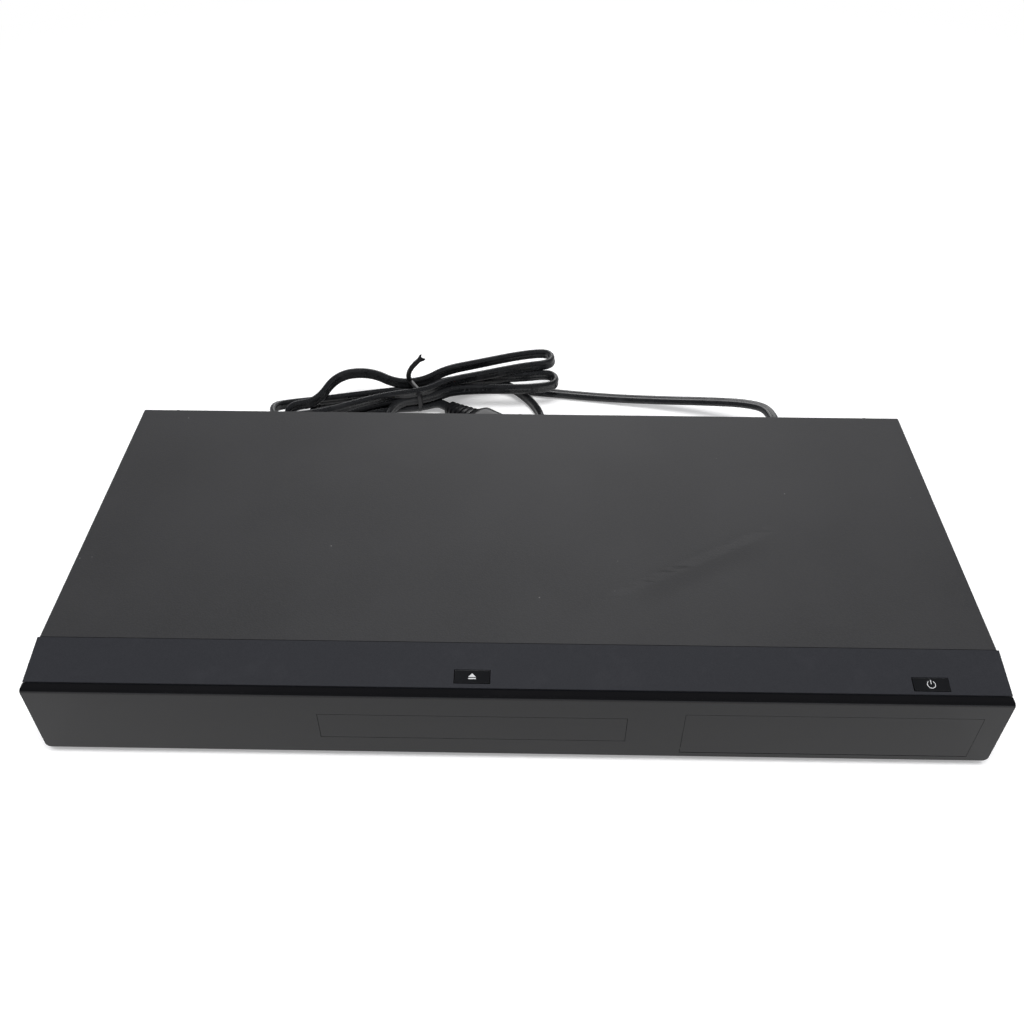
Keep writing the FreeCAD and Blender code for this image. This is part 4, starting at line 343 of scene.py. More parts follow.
def vinyl(name, low=(13, 13, 14), high=(23, 23, 25)):
    """Black vinyl with a soft gloss, faint dust and drawn lines along it."""
    f = Finish(name)
    drawn = f.noise(0.001, 2.0)
    dust = f.noise(0.0025, 5.0, rough=0.75).rise(0.6, 0.8)
    body = f.blend(drawn, screen(*low), screen(*high))
    body = f.blend(dust * 0.25, body, screen(80, 80, 80))
    return f.surface(Base_Color=body, Roughness=0.3 + dust * 0.25, Normal=f.bump(drawn, 0.00003))


def flat_lead():
    """The lead's vinyl in colours lifted by a painted sheen: lines drawn along it, a matt bloom in
    patches and a row of pale dashes.
    """
    f = Finish("flat_lead")
    u, v, _ = f.node("ShaderNodeTexCoord", {}, {}, "UV").parts()
    drawn = f.noise(1.0, 2.0, f.node("ShaderNodeCombineXYZ", {}, {"X": u * 60, "Y": v * 22}))
    bloom = f.noise(0.012, 4.0, rough=0.65).rise(0.48, 0.75)
    lane = 1 - (abs(v - 0.25) / 0.05).rise(0.5, 0.7)
    dashes = ((u * 2094.0).sine()).rise(0.1, 0.5) * ((u * 41.9).sine()).rise(0.2, 0.3)
    ink = lane * dashes * f.noise(0.0012).rise(0.42, 0.55)
    # Both colours are lighter than the plug's vinyl as a painted sheen, in place of the unmirrored
    # ceiling lamp's gloss; the change between them follows the drawn lines
    body = f.blend(drawn, screen(21, 22, 23), screen(33, 34, 36))
    body = f.blend(bloom * 0.35, body, screen(62, 62, 64))
    body = f.blend(ink * 0.35, body, screen(118, 118, 120))
    return f.surface(Base_Color=body, Roughness=0.27 + bloom * 0.22, Normal=f.bump(drawn, 0.00004))


def lens_glass():
    """A coated lens: violet-blue with a greener rim, and a hard gloss."""
    f = Finish("lens_glass")
    rim = f.node("ShaderNodeLayerWeight", {}, {"Blend": 0.4}, "Facing")
    tint = f.noise(0.002, 1.0)
    body = f.blend((rim + tint * 0.2).smaller(1), screen(40, 28, 96), screen(70, 150, 150))
    return f.surface(Base_Color=body, Roughness=0.05 + tint * 0.04, Coat_Weight=1.0, IOR=1.6)


def sleeve():
    """The capacitors' printed sleeve: blue-black film with one pale stripe and bare aluminium tops."""
    f = Finish("capacitor_sleeve")
    x, _, z = f.spot.parts()
    _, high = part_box("capacitors")
    top = z.rise(float(high.z) - 0.0007, float(high.z) - 0.0004)
    stripe = (x * 420).sine().rise(0.9, 0.94)
    film = f.blend(f.noise(0.002), screen(20, 22, 48), screen(30, 32, 62))
    body = f.blend(stripe * 0.8, film, screen(170, 175, 190))
    body = f.blend(top, body, screen(188, 190, 192))
    return f.surface(Base_Color=body, Roughness=0.26 + f.noise(0.001) * 0.1, Metallic=top * 0.9)


def winding():
    """The transformer's yellow tape over its winding, and the dark grey core at its sides."""
    f = Finish("transformer_tape")
    low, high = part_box("transformer")
    _, y, z = f.spot.parts()
    middle = float(low.y + high.y) / 2
    tape = 1 - (abs(y - middle) / float(high.y - low.y)).rise(0.27, 0.28)
    lap = (z * 1400).sine()
    yellow = f.blend(lap.rise(0.6, 0.9), screen(196, 160, 62), screen(168, 132, 44))
    core = f.blend(f.noise(0.0008, 4.0), screen(48, 48, 50), screen(70, 70, 72))
    body = f.blend(tape, core, yellow)
    weave = f.bump(f.noise(0.0006), 0.00005)
    return f.surface(Base_Color=body, Roughness=0.62 - tape * 0.28, Normal=weave)


def pale_ink():
    """Pad-printed ink, a little uneven."""
    f = Finish("button_ink")
    patch = f.noise(0.0006, 3.0)
    body = f.blend(patch, screen(206, 207, 208), screen(224, 225, 226))
    return f.surface(Base_Color=body, Roughness=0.42 + patch * 0.2)


# Meshes: every form is a grid of points, rows by columns, and a piece is one or more forms
def quads(index):
    """Four corners of every cell of a grid of vertex numbers."""
    corners = [index[:-1, :-1], index[:-1, 1:], index[1:, 1:], index[1:, :-1]]
    return np.stack(corners, -1).reshape(-1, 4)


def form(points, around=True, along=False):
    """Points (rows, columns, 3) as vertices and faces.

    Neighbouring rows and columns make the quads. With around, the last column joins the first.
    With along, the last row joins the first; without it, a fan closes each end row to its middle.
    """
    rows, columns, _ = points.shape
    index = np.arange(rows * columns).reshape(rows, columns)
    if along:
        index = np.vstack([index, index[:1]])
    if around:
        index = np.hstack([index, index[:, :1]])
    vertices, faces = points.reshape(-1, 3), quads(index).tolist()
    if around and not along:
        middles = np.array([points[0].mean(axis=0), points[-1].mean(axis=0)])
        hub = len(vertices)
        vertices = np.vstack([vertices, middles])
        first = np.stack([index[0, 1:], index[0, :-1], np.full(columns, hub)], -1)
        last = np.stack([index[-1, :-1], index[-1, 1:], np.full(columns, hub + 1)], -1)
        faces += first.tolist() + last.tolist()
    return outwards(vertices, faces)


def outwards(vertices, faces):
    """Turns the faces round where the volume they enclose, the sum of a · (b × c) / 6, is below 0."""
    fans = [(face[0], face[i], face[i + 1]) for face in faces for i in range(1, len(face) - 1)]
    fans = np.array(fans)
    a, b, c = (vertices[fans[:, i]] for i in range(3))
    if np.einsum("ij,ij->i", a, np.cross(b, c)).sum() < 0:
        faces = [face[::-1] for face in faces]
    return vertices, faces


def piece(name, forms, material, body, smooth=50):
    """One object from several forms, in millimetres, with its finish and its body."""
    vertices, faces, start = [], [], 0
    for points, sides in forms:
        vertices.append(points)
        faces += [[i + start for i in side] for side in sides]
        start += len(points)
    mesh = bpy.data.meshes.new(name)
    mesh.from_pydata((np.vstack(vertices) * MM).tolist(), [], faces)
    mesh.materials.append(material)
    mesh.polygons.foreach_set("use_smooth", [True] * len(faces))
    mesh.update()
    made = bpy.data.objects.new(name, mesh)
    bpy.context.collection.objects.link(made)
    if smooth:
        mesh.set_sharp_from_angle(angle=math.radians(smooth))
    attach(made, body)
    return made


def placed(parts, spot, turn=0.0):
    """Forms turned about the vertical axis by turn degrees and moved to spot."""
    c, s = math.cos(math.radians(turn)), math.sin(math.radians(turn))
    matrix = np.array([[c, -s, 0], [s, c, 0], [0, 0, 1]])
    return [(points @ matrix.T + np.array(spot), faces) for points, faces in parts]


# The mains lead's route: the corner points of the source's free stretch and hank
LEAD_ROUTE = [
    (155.0, 124.75, 21.0), (155.0, 139.4, 21.0), (144.0, 150.4, 18.0), (121.0, 160.4, 12.0),
    (89.0, 169.2, 6.0), (53.8, 175.9, 2.6), (16.6, 181.1, 2.6), (-14.5, 184.5, 2.6),
]
HANK_ROUTE = [
    (-32.7, 186.5, 2.6), (-57.0, 175.7, 3.5),
    (-84.7, 170.1, 3.5), (-114.2, 166.1, 2.6), (-131.5, 162.7, 2.6), (-134.4, 158.2, 2.6),
    (-133.4, 152.9, 2.6), (-128.9, 149.9, 2.6), (-111.6, 153.4, 2.6), (-83.7, 164.6, 3.5),
    (-61.4, 169.0, 3.5), (-47.2, 172.5, 8.2), (-35.4, 176.3, 8.2), (-28.7, 183.0, 8.2),
    (-8.1, 183.0, 8.2), (14.0, 160.9, 2.6), (14.0, 129.3, 2.6), (-8.3, 107.0, 2.6),
    (-43.0, 107.0, 2.6), (-81.0, 107.0, 2.6), (-105.5, 107.0, 2.6), (-113.0, 114.5, 5.4),
    (-113.0, 125.5, 5.4), (-105.5, 133.0, 8.2), (-86.5, 133.0, 8.2), (-81.1, 159.3, 9.2),
    (-60.3, 163.5, 9.2), (-45.9, 166.1, 13.9), (-24.5, 168.6, 13.9), (3.3, 168.7, 13.9),
    (19.7, 172.0, 13.9), (23.0, 176.8, 13.9), (21.8, 182.5, 13.9), (17.0, 185.7, 13.9),
    (0.6, 182.4, 13.9), (-26.9, 180.6, 13.9), (-48.0, 176.4, 13.9), (-62.6, 174.5, 9.2),
    (-89.5, 169.2, 9.2), (-128.3, 161.8, 8.2), (-152.2, 157.0, 8.2), (-157.2, 149.6, 11.1),
    (-155.4, 140.4, 11.1), (-147.9, 135.4, 13.9), (-123.6, 140.3, 13.9), (-87.6, 158.0, 14.8),
    (-60.3, 163.5, 14.8), (-46.4, 168.5, 19.6), (-25.7, 175.3, 19.6), (0.8, 185.0, 19.6),
    (17.5, 188.4, 19.6), (20.7, 193.2, 19.6), (19.6, 198.9, 19.6), (14.7, 202.1, 19.6),
    (-2.0, 198.7, 19.6), (-28.4, 188.6, 19.6), (-49.0, 181.0, 19.6), (-62.4, 174.6, 14.8),
    (-79.8, 171.1, 14.8), (-97.7, 178.1, 19.6), (-119.0, 173.8, 19.6), (-129.8, 154.3, 11.6),
    (-145.6, 151.2, 11.6), (-148.5, 146.8, 4.9), (-147.0, 139.2, 4.9), (-141.6, 135.7, 2.6),
    (-119.7, 140.0, 2.6), (-86.5, 158.2, 3.5), (-62.8, 163.0, 3.5), (-53.0, 163.0, 6.6),
    (-47.8, 159.3, 6.6), (-44.8, 157.1, 6.6),
]
LEAD_WIDE, LEAD_THICK = 6.8, 4.0
# Where the lead turns on edge, from its start, and where it is flat again, before its end
TURN_UP, TURN_FLAT, TABLE_GAP = (195, 240), (22, 60), 0.1
HANK_TURN, HANK_SPOT = 11.3, (-69.0, 167.5)
STRAND_STEP, WAIST_LOW, TIE_LEAN, TIE_TURNS = 5.65, 3.5, 20.0, 3.4
PLUG_SPOT, PLUG_TURN, PLUG_RELIEF = (-28.6, 145.3, 6.6), -36.0, 20.0
PLUG_SIDE, PLUG_HEIGHT, PLUG_ROUND, BLADE_SPREAD = 22.0, 13.0, 1.8, 6.35
RELIEF_GROOVES = 6
DISC_Y = -34.5


def lead_line():
    """The route as one smooth spline, and the points read from it, in millimetres."""
    curve = bpy.data.curves.new("lead_line", "CURVE")
    curve.dimensions = "3D"
    curve.resolution_u = 14
    spline = curve.splines.new("NURBS")
    route = LEAD_ROUTE + HANK_ROUTE
    spline.points.add(len(route) - 1)
    spline.points.foreach_set("co", [n for p in route for n in (p[0] * MM, p[1] * MM, p[2] * MM, 1.0)])
    spline.order_u = 3
    spline.use_endpoint_u = True
    line = bpy.data.objects.new("lead_line", curve)
    read = bpy.data.meshes.new_from_object(line)
    points = np.empty(len(read.vertices) * 3)
    read.vertices.foreach_get("co", points)
    points = points.reshape(-1, 3) / MM
    keep = np.r_[True, np.linalg.norm(np.diff(points, axis=0), axis=1) > 0.05]
    bpy.data.objects.remove(line)
    bpy.data.curves.remove(curve)
    bpy.data.meshes.remove(read)
    return points[keep]


def unit(vectors):
    return vectors / np.linalg.norm(vectors, axis=-1, keepdims=True)


def line_frames(points):
    """Along, level and upward directions at each point of a line; level is along × up, laid flat."""
    along = unit(np.gradient(points, axis=0))
    level = unit(np.cross(along, np.array([0.0, 0.0, 1.0])))
    return along, level, np.cross(level, along)


def smooth_step(value, low, high):
    """0 below low and 1 above high, with 3t² − 2t³ between."""
    t = np.clip((value - low) / (high - low), 0, 1)
    return t * t * (3 - 2 * t)


def sections(points, side, face, x, y):
    """The same outline (x, y) at every point, x laid along side and y along face."""
    x, y = x[None, :, None], y[None, :, None]
    return points[:, None] + side[:, None] * x + face[:, None] * y


def flat_tube(points, roll, wide, thick, sides=24):
    """A flat twin lead along points: a stadium whose two faces dip in the middle.

    The section is x = ±(w − t) + t cos a, y = t sin a, with y less 14 % at the middle as a bell
    curve, turned by roll about the line.
    """
    a = (np.arange(sides) + 0.5) / sides * 2 * math.pi
    half, reach = wide / 2, thick / 2
    across = np.sign(np.cos(a)) * (half - reach) + reach * np.cos(a)
    flat = np.array([0.0, 0.25, -0.25])
    ring_x = np.concatenate([across, flat, flat[::-1]])
    ring_y = np.concatenate([reach * np.sin(a), np.full(3, reach), np.full(3, -reach)])
    order = np.argsort(np.arctan2(ring_y / reach, ring_x / half))
    ring_x, ring_y = ring_x[order], ring_y[order]
    ring_y = ring_y * (1 - 0.14 * np.exp(-((ring_x / 0.55) ** 2)))
    _, level, up = line_frames(points)
    c, s = np.cos(roll)[:, None], np.sin(roll)[:, None]
    side, face = level * c + up * s, up * c - level * s
    return sections(points, side, face, ring_x, ring_y)


def mains_lead():
    """The whole lead, flat on the table at first, on edge through the hank, flat into its plug.

    On edge it rolls by a quarter turn plus a slow sine, and it never dips into the table.
    """
    points = lead_line()
    run = np.r_[0, np.cumsum(np.linalg.norm(np.diff(points, axis=0), axis=1))]
    left = run[-1] - run
    edge = smooth_step(run, *TURN_UP) - 1 + smooth_step(left, *TURN_FLAT)
    roll = edge * (math.pi / 2 + 0.18 * np.sin(run / 37))
    grid = flat_tube(points, roll, LEAD_WIDE, LEAD_THICK)
    grid[..., 2] = np.maximum(grid[..., 2], TABLE_GAP)
    lead = piece("flat_lead", [form(grid)], flat_lead(), "casing", smooth=0)
    rows, columns, _ = grid.shape
    around = np.tile(np.arange(columns) / columns, rows)
    table = np.column_stack([np.repeat(run * MM, columns), around])
    table = np.vstack([table, [[0, 0.5], [run[-1] * MM, 0.5]]])
    corners = np.empty(len(lead.data.loops), dtype=int)
    lead.data.loops.foreach_get("vertex_index", corners)
    lead.data.uv_layers.new(name="along").data.foreach_set("uv", table[corners].ravel())
    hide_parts("mains_lead", "lead_hank")
    return lead, points


def plug_grid():
    """The moulded plug along x: relief from 0, body after it.

    Each section is a rounded box, |y/a|^n + |z/b|^n = 1. The half width a and half height b swell
    from the lead to the body and narrow at its end, with grooves across the relief as a stepped sine.
    """
    body = np.array([0.4, 1.2, 2.4, 4, 8, 14, 18, 20, 21, 21.7, PLUG_SIDE])
    x = np.r_[np.linspace(-1.0, PLUG_RELIEF, 150), PLUG_RELIEF + body]
    taper = np.clip(x / PLUG_RELIEF, 0, 1)
    swell = smooth_step(x, PLUG_RELIEF - 3.0, PLUG_RELIEF + 3.5)
    end = smooth_step(x, PLUG_RELIEF + 19.4, PLUG_RELIEF + 22.6)
    wave = np.sin((x - 0.4) / PLUG_RELIEF * 2 * math.pi * RELIEF_GROOVES)
    inside = smooth_step(x, 0.6, 1.2) * (1 - smooth_step(x, PLUG_RELIEF - 3, PLUG_RELIEF - 2))
    groove = smooth_step(wave, -0.35, 0.35) * inside
    a = (5.0 + 3.0 * taper) * (1 - 0.2 * groove)
    b = (3.6 + 1.8 * taper) * (1 - 0.16 * groove)
    a = a + (PLUG_SIDE / 2 - a) * swell - PLUG_ROUND * end
    b = b + (PLUG_HEIGHT / 2 - b) * swell - PLUG_ROUND * end
    share = 2 / (2.6 + 1.6 * swell[:, None])
    t = np.arange(64) / 64 * 2 * math.pi
    c, s = np.cos(t)[None], np.sin(t)[None]
    y = np.sign(c) * np.abs(c) ** share * a[:, None]
    z = np.sign(s) * np.abs(s) ** share * b[:, None]
    return np.stack([np.broadcast_to(x[:, None], y.shape), y, z], -1)


def blade_form(side):
    """One flat blade with a round hole near its tip.

    The outline is the ray from the hole's middle to a box, its tip's corners cut by a larger circle.
    Four rings, outer and inner at both faces, join round into one closed band.
    """
    start, tip, half, thick = PLUG_RELIEF + 21, PLUG_RELIEF + 37.5, 3.15, 0.75
    hole_x, hole = tip - 4.4, 1.6
    t = np.arange(128) / 128 * 2 * math.pi
    c, s = np.cos(t), np.sin(t)
    reach_x = np.where(c > 0, tip - hole_x, hole_x - start) / np.maximum(np.abs(c), 1e-6)
    reach_z = half / np.maximum(np.abs(s), 1e-6)
    far = np.minimum(np.minimum(reach_x, reach_z), np.where(c > 0, 4.75, 99))
    outer = np.stack([hole_x + far * c, far * s], -1)
    inner = np.stack([hole_x + hole * c, hole * s], -1)
    rings = [(outer, -thick), (inner, -thick), (inner, thick), (outer, thick)]
    grid = [np.insert(ring, 1, side * BLADE_SPREAD + lift, axis=1) for ring, lift in rings]
    return form(np.stack(grid), along=True)


def mains_plug():
    """The plug that replaces the source's: its moulded body and its two blades."""
    heading = np.array([math.cos(math.radians(PLUG_TURN)), math.sin(math.radians(PLUG_TURN)), 0])
    spot = np.array(PLUG_SPOT) - heading * PLUG_RELIEF
    body = piece(
        "plug_body",
        placed([form(plug_grid())], spot, PLUG_TURN),
        vinyl("plug_vinyl"),
        "casing",
    )
    nickel = brushed("plug_nickel", (176, 174, 168), (206, 204, 198), 0.2)
    blades = piece(
        "plug_blades",
        placed([blade_form(-1), blade_form(1)], spot, PLUG_TURN),
        nickel,
        "casing",
        smooth=40,
    )
    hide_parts("mains_plug")
    return [body, blades]


def ribbon(points, side, wide, thick, rib, sides=20):
    """A coated wire along points: a flat film of thick, swollen to rib over the wire in its middle."""
    a = np.arange(sides) / sides * 2 * math.pi
    x = wide / 2 * np.sign(np.cos(a)) * np.abs(np.cos(a)) ** 0.6
    y = np.sin(a) * (thick / 2 + (rib - thick) / 2 * np.exp(-((x / 0.45) ** 2)))
    along = unit(np.gradient(points, axis=0))
    side = unit(side - along * np.einsum("ij,ij->i", side, along)[:, None])
    return sections(points, side, np.cross(side, along), x, y)


def tie_forms():
    """The tie round the hank's waist, a rounded box path, and its two ends twisted round each other."""
    half_y, half_z, power = STRAND_STEP + 3.6, STRAND_STEP + 2.9, 5.0
    middle = WAIST_LOW + STRAND_STEP
    t = np.arange(96) / 96 * 2 * math.pi
    c, s = np.cos(t), np.sin(t)
    y = np.sign(c) * np.abs(c) ** (2 / power) * half_y
    z = middle + np.sign(s) * np.abs(s) ** (2 / power) * half_z
    loop = np.stack([0.35 * np.sin(2 * t), y, z], -1)
    wrapped = np.vstack([loop[-1:], loop, loop[:1]])
    side = np.tile([1.0, 0.0, 0.0], (len(wrapped), 1))
    parts = [form(ribbon(wrapped, side, wide=3.2, thick=0.5, rib=1.0)[1:-1], along=True)]
    # The twist rises off the band's far side, leans left and bends over to the right at its tip
    share = np.linspace(0, 1, 90)
    bend = 10.5 * share**1.6 - 2.5 * np.sin(3 * share)
    climb = middle + half_z + 14.5 * share - 1.5 * share**3
    stem = np.stack([bend, 5.0 + 1.5 * share, climb], -1)
    along = unit(np.gradient(stem, axis=0))
    level = unit(np.cross(along, np.array([0.0, 1.0, 0.0])))
    cross = np.cross(along, level)
    spread = (0.9 + 0.7 * smooth_step(share, 0.9, 1.0))[:, None]
    for way in (0, math.pi):
        turn = (share * TIE_TURNS * 2 * math.pi + way)[:, None]
        away = level * np.cos(turn) + cross * np.sin(turn)
        tail = ribbon(stem + away * spread, np.cross(away, along), wide=3.6, thick=0.8, rib=1.5)
        parts.append(form(tail))
    return parts


def twist_tie():
    tie = piece(
        "wire_tie",
        placed(tie_forms(), (*HANK_SPOT, 0), HANK_TURN + TIE_LEAN),
        vinyl("tie_film", (16, 16, 17), (34, 34, 36)),
        "casing",
    )
    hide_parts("twist_tie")
    return tie


lead, lead_points = mains_lead()
plug_pieces = mains_plug()
tie = twist_tie()


# Marks on the ledge buttons
def stamped(outline, plane, thick=0.05):
    """A thin plate over an outline (n, 2) that follows a sloping plane z = a + b·y."""
    a, b = plane
    rings = [np.column_stack([outline, a + b * outline[:, 1] + lift]) for lift in (-0.02, thick)]
    return form(np.stack(rings))


def ring_mark(x, y, radius, width, plane, gap, thick=0.05):
    """An arc about (x, y), open by gap radians at its top: a small box carried round the arc."""
    t = (math.pi / 2 + gap / 2 + np.linspace(0, 1, 65) * (2 * math.pi - gap))[:, None]
    reach = radius + width / 2 * np.array([1, -1, -1, 1])
    lift = np.array([-0.02, -0.02, thick, thick])
    across, along = x + reach * np.cos(t), y + reach * np.sin(t)
    a, b = plane
    return form(np.stack([across, along, a + b * along + lift], -1))


def top_plane(node):
    """A button's sloping top as z = a + b·y, from its two largest tilted faces, and its middle."""
    tilted = [face for face in nodes[node].data.polygons if 0.9 < face.normal.z < 0.999]
    top = sorted(tilted, key=lambda face: face.area)[-2:]
    x, y, z = np.mean([face.center for face in top], axis=0) / MM
    slope = -top[0].normal.y / top[0].normal.z
    return (z - slope * y, slope), y, x


def corners(x, half, low, high):
    """A box on the plan, half wide on both sides of x, from low to high along y."""
    return np.array([[x - half, low], [x + half, low], [x + half, high], [x - half, high]])


def button_marks():
    """Eject on the tray's button and standby on the power button, as small pale inked signs."""
    ink = pale_ink()
    plane, y, x = top_plane("tray_button")
    half, foot = 1.7, y - 0.35
    wedge = np.array([[x - half, foot], [x + half, foot], [x, y + 1.45]])
    eject = [stamped(wedge, plane), stamped(corners(x, half, y - 1.35, y - 0.8), plane)]
    piece("eject_mark", eject, ink, "tray_button", 30)
    plane, y, x = top_plane("power_button")
    stroke = corners(x, 0.16, y - 0.1, y + 2.0)
    arc = ring_mark(x, y - 0.15, 1.75, 0.32, plane, 1.3)
    piece("standby_mark", [arc, stamped(stroke, plane)], ink, "power_button", 30)


button_marks()


# Details of the back: middles of the audio and video jacks and of the four aerial jacks
AV_X, AV_Z = (-77.0, -63.0, -49.0), 19.1
AERIAL_X, AERIAL_Z, AERIAL_STEP = 76.5, 26.6, 8


def band(spot, inner, outer, low, high, sides=48):
    """A ring about a line through spot towards the back, its outer rear edge broken by a tenth."""
    soft = 0.1
    profile = [(inner, low), (outer, low), (outer, high - soft), (outer - soft, high), (inner, high)]
    t = np.arange(sides) / sides * 2 * math.pi
    radius, height = np.array(profile)[:, :, None].transpose(1, 0, 2)
    ring = [radius * np.cos(t), np.broadcast_to(height, (len(profile), sides)), radius * np.sin(t)]
    return form(np.stack(ring, -1) + np.array(spot), along=True)


def thread(spot, radius, pitch, depth, low, high, sides=40):
    """A screw thread: a ridge of depth, a trapezium in section, wound about radius once per pitch.

    Its crest fades to nothing over the first and the last quarter turn.
    """
    turns = (high - low) / pitch
    steps = int(turns * sides)
    t = np.arange(steps + 1) / sides * 2 * math.pi
    rise = low + np.arange(steps + 1) / sides * pitch
    half = pitch * 0.42
    root, crest = -0.12, half * 0.15
    section = [(root, -half), (depth, -crest), (depth, crest), (root, half)]
    step = np.arange(steps + 1)
    ease = smooth_step(np.minimum(step, steps - step), 0, sides / 4)
    rows = []
    for out, shift in section:
        reach = radius + (out if out < 0 else out * ease)
        rows.append(np.stack([reach * np.cos(t), rise + shift * 0.9, reach * np.sin(t)], -1))
    return form(np.stack(rows, 1) + np.array(spot))


def rear_details():
    """Colour rings and shells in the jacks, and threads and insulators on the aerial jacks."""
    tin = brushed("jack_nickel", (168, 166, 160), (206, 204, 198), 0.2, (1, 1, 1))
    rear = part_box("av_jacks")[1].y / MM
    colours = [("yellow", (206, 172, 30)), ("white", (216, 214, 206)), ("red", (168, 28, 26))]
    for (name, ink), x in zip(colours, AV_X):
        low = tuple(int(0.85 * level) for level in ink)
        colour = moulded(f"{name}_plastic", low, ink, 0.36, 0.0005, 0.00001)
        spot = (x, rear, AV_Z)
        ring = band(spot, inner=2.35, outer=3.75, low=-3.0, high=0.12)
        shell = band(spot, inner=3.75, outer=4.15, low=-5.0, high=0.3)
        contact = band(spot, inner=1.45, outer=1.75, low=-4.0, high=0.25)
        piece(f"{name}_ring", [ring], colour, "casing", 40)
        piece(f"{name}_shell", [shell, contact], tin, "casing", 40)
    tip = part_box("tuner")[1].y / MM
    spots = [
        (AERIAL_X + across * AERIAL_STEP, tip, AERIAL_Z + up * AERIAL_STEP)
        for across in (-1, 1)
        for up in (-1, 1)
    ]
    threads = [thread(spot, radius=4.5, pitch=0.794, depth=0.3, low=-5.4, high=-0.9) for spot in spots]
    collars = [band(spot, inner=1.05, outer=2.6, low=-0.6, high=0.06) for spot in spots]
    piece("aerial_threads", threads, tin, "casing", 30)
    cream = moulded("aerial_insulator", (196, 192, 178), (212, 208, 196), 0.5)
    piece("aerial_insulators", collars, cream, "casing", 40)


rear_details()


# Finishes of the source's own nodes
black_plastic = moulded("black_plastic", (26, 26, 27), (36, 36, 38))
steel = brushed("plated_steel", (150, 151, 152), (190, 190, 190), 0.26)
zinc = zinc_sheet("zinc_sheet", (126, 129, 133), (168, 171, 175))
green = board("green_board", (14, 66, 38), (26, 92, 54), (196, 192, 180))
gloss = gloss_black()
white = acetal()
button = moulded("button_plastic", (12, 13, 15), (18, 19, 21), 0.3, 0.0004, 0.00001)
FINISHES = {
    "top_cover": cover_paint(),
    "chassis_base": zinc,
    "feet": rubber("foot_rubber", (24, 24, 25), (40, 40, 41)),
    "rear_panel": zinc_sheet("rear_zinc", (134, 136, 139), (172, 174, 177)),
    "screws": black_screw(),
    "front_panel": ledge_plastic(),
    "face_plate": gloss,
    "tray_bezel": gloss,
    "slot_door": gloss,
    "door_pin": steel,
    "slot_panel": moulded("slot_plastic", (22, 22, 23), (32, 32, 34), 0.55),
    "tray_button": button,
    "power_button": button,
    "button_boards": green,
    "button_switches": moulded("switch_plastic", (24, 24, 24), (40, 40, 40)),
    "sensor_board": green,
    "disc_tray": tray_plastic(),
    "tray_rack": white,
    "drive_gear": white,
    "pulley_gear": white,
    "motor_pulley": white,
    "loading_belt": rubber("belt_rubber", (20, 20, 20), (34, 34, 34)),
    "loading_motor": brushed("motor_can", (140, 141, 142), (186, 187, 188), 0.24, (1, 1, 0.05)),
    "loader_frame": moulded("loader_plastic", (32, 32, 34), (46, 46, 48), 0.55, 0.0009, 0.00006),
    "clamp_bridge": zinc,
    "disc_clamp": moulded("clamp_plastic", (70, 70, 72), (90, 90, 92), 0.45),
    "traverse_frame": brushed("stamped_steel", (128, 129, 131), (164, 165, 167), 0.3),
    "spindle_motor": brushed("spindle_can", (120, 121, 123), (160, 161, 163), 0.26),
    "turntable": moulded("turntable_plastic", (26, 26, 27), (44, 44, 45), 0.6),
    "pickup_sled": brushed("cast_sled", (126, 127, 130), (166, 167, 170), 0.42, (1, 1, 1)),
    "pickup_lens": lens_glass(),
    "guide_rods": brushed("ground_rod", (176, 176, 178), (206, 206, 208), 0.14, (1, 0.05, 1)),
    "lead_screw": brushed("rolled_screw", (160, 160, 162), (200, 200, 202), 0.2, (1, 1, 1)),
    "sled_motor": brushed("sled_motor_can", (140, 141, 142), (186, 187, 188), 0.24, (1, 0.05, 1)),
    "cartridge_bay": moulded("bay_plastic", (26, 26, 28), (38, 38, 40), 0.55),
    "shutter_flap": moulded("flap_plastic", (24, 24, 25), (34, 34, 36), 0.5),
    "usb_socket": steel,
    "card_reader": black_plastic,
    "hard_drive": brushed("drive_casting", (150, 151, 153), (186, 187, 189), 0.34, (0.05, 1, 1)),
    "drive_bracket": zinc,
    "main_board": green,
    "power_board": board("tan_board", (150, 118, 66), (166, 132, 78), (190, 186, 176), 0.5),
    "main_chip": moulded("chip_resin", (26, 26, 27), (36, 36, 37), 0.48, 0.0003),
    "heat_sink": brushed("extruded_fins", (146, 148, 152), (184, 186, 190), 0.3, (1, 0.04, 1)),
    "transformer": winding(),
    "capacitors": sleeve(),
    "tuner": brushed("tinned_can", (150, 150, 146), (190, 190, 184), 0.26, (0.3, 1, 0.3)),
    "av_jacks": black_plastic,
    "hdmi_socket": steel,
    "lan_socket": steel,
    "ac_inlet": black_plastic,
    "fan_frame": black_plastic,
    "fan_rotor": moulded("rotor_plastic", (22, 22, 23), (34, 34, 35), 0.44),
    "inlet_plug": vinyl("inlet_vinyl"),
}


def dress(node, material):
    mesh = nodes[node].data
    mesh.materials.clear()
    mesh.materials.append(material)


for node, material in FINISHES.items():
    dress(node, material)
for node in ("mains_lead", "lead_hank", "mains_plug", "twist_tie"):
    dress(node, black_plastic)


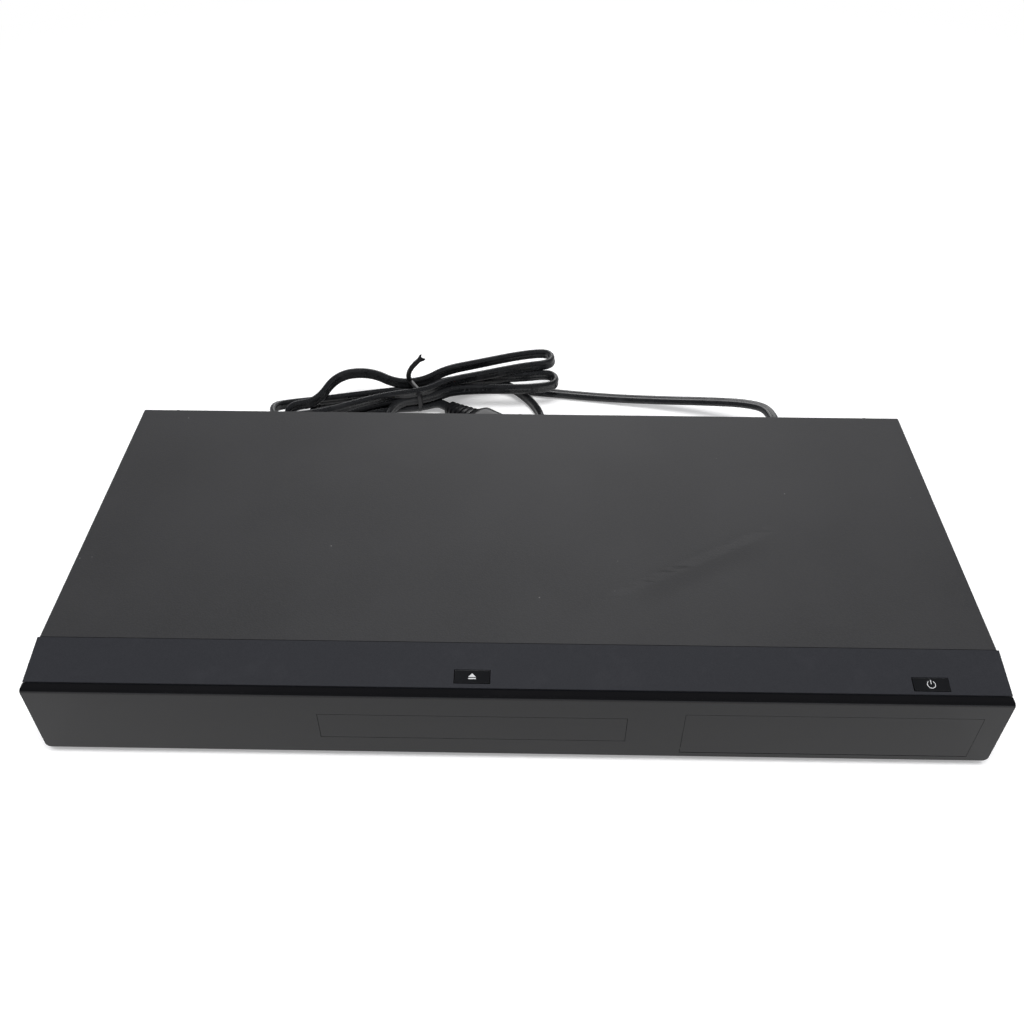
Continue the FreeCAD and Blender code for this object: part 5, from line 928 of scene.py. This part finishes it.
# Table, room and lamps
def table():
    """A wide pale table that keeps its shadows near the object and shows plain white far from it."""
    side = 6000
    edge = np.linspace(-side, side, 5)
    across, depth = np.meshgrid(edge, edge)
    points = np.stack([across, depth, np.zeros_like(across)], -1)
    index = np.arange(across.size).reshape(across.shape)
    mesh = bpy.data.meshes.new("table")
    mesh.from_pydata((points.reshape(-1, 3) * MM).tolist(), [], quads(index).tolist())
    made = bpy.data.objects.new("table", mesh)
    bpy.context.collection.objects.link(made)
    f = Finish("table_top")
    pale = f.blend(f.noise(0.3), screen(243, 243, 243), screen(246, 246, 246))
    matt = f.node("ShaderNodeBsdfDiffuse", {}, {"Color": pale})
    seen = f.node("ShaderNodeLightPath", {}, {}, "Is Camera Ray")
    glow = f.node("ShaderNodeEmission", {}, {"Color": WHITE, "Strength": seen * 0.32})
    lit = f.node("ShaderNodeAddShader", {}, {0: matt, 1: glow})
    plain = f.node("ShaderNodeEmission", {}, {"Color": WHITE, "Strength": 1.0})
    x, y, _ = f.spot.parts()
    far = (x * x + y * y).root().rise(0.6, 1.1) * seen
    f.end(f.node("ShaderNodeMixShader", {}, {0: far, 1: lit, 2: plain}))
    mesh.materials.append(f.material)


def room():
    """White near the horizon, falling to a dim grey overhead, so that gloss stays dark above."""
    world = bpy.data.worlds.new("room")
    bpy.context.scene.world = world
    f = Finish("room", world, "Generated")
    height = f.spot.parts()[2]
    sky = f.blend(height.rise(0.1, 0.5), (0.95, 0.96, 1.0, 1), (0.14, 0.14, 0.15, 1))
    camera_ray = f.node("ShaderNodeLightPath", {}, {}, "Is Camera Ray")
    through_ray = f.node("ShaderNodeLightPath", {}, {}, "Is Transmission Ray")
    colour = f.blend(camera_ray.larger(through_ray), sky, WHITE)
    back = f.node("ShaderNodeBackground", {}, {"Color": colour, "Strength": 1.0})
    f.end(back, "ShaderNodeOutputWorld")


def lamp(name, spot, size, power, mirrored):
    """A soft lamp turned to the middle, lengths in metres; one not mirrored leaves gloss dark."""
    light = bpy.data.lights.new(name, "AREA")
    light.shape = "RECTANGLE"
    light.size, light.size_y = size
    light.energy = power
    made = bpy.data.objects.new(name, light)
    made.location = spot
    made.rotation_euler = (-Vector(spot)).to_track_quat("-Z", "Y").to_euler()
    made.visible_glossy = mirrored
    bpy.context.collection.objects.link(made)


table()
room()
lamp("ceiling", spot=(0.0, -0.5, 2.3), size=(1.6, 1.2), power=46, mirrored=False)
lamp("window", spot=(0.2, 2.6, 1.4), size=(1.8, 1.0), power=18, mirrored=True)
bpy.context.scene.view_settings.view_transform = "Standard"
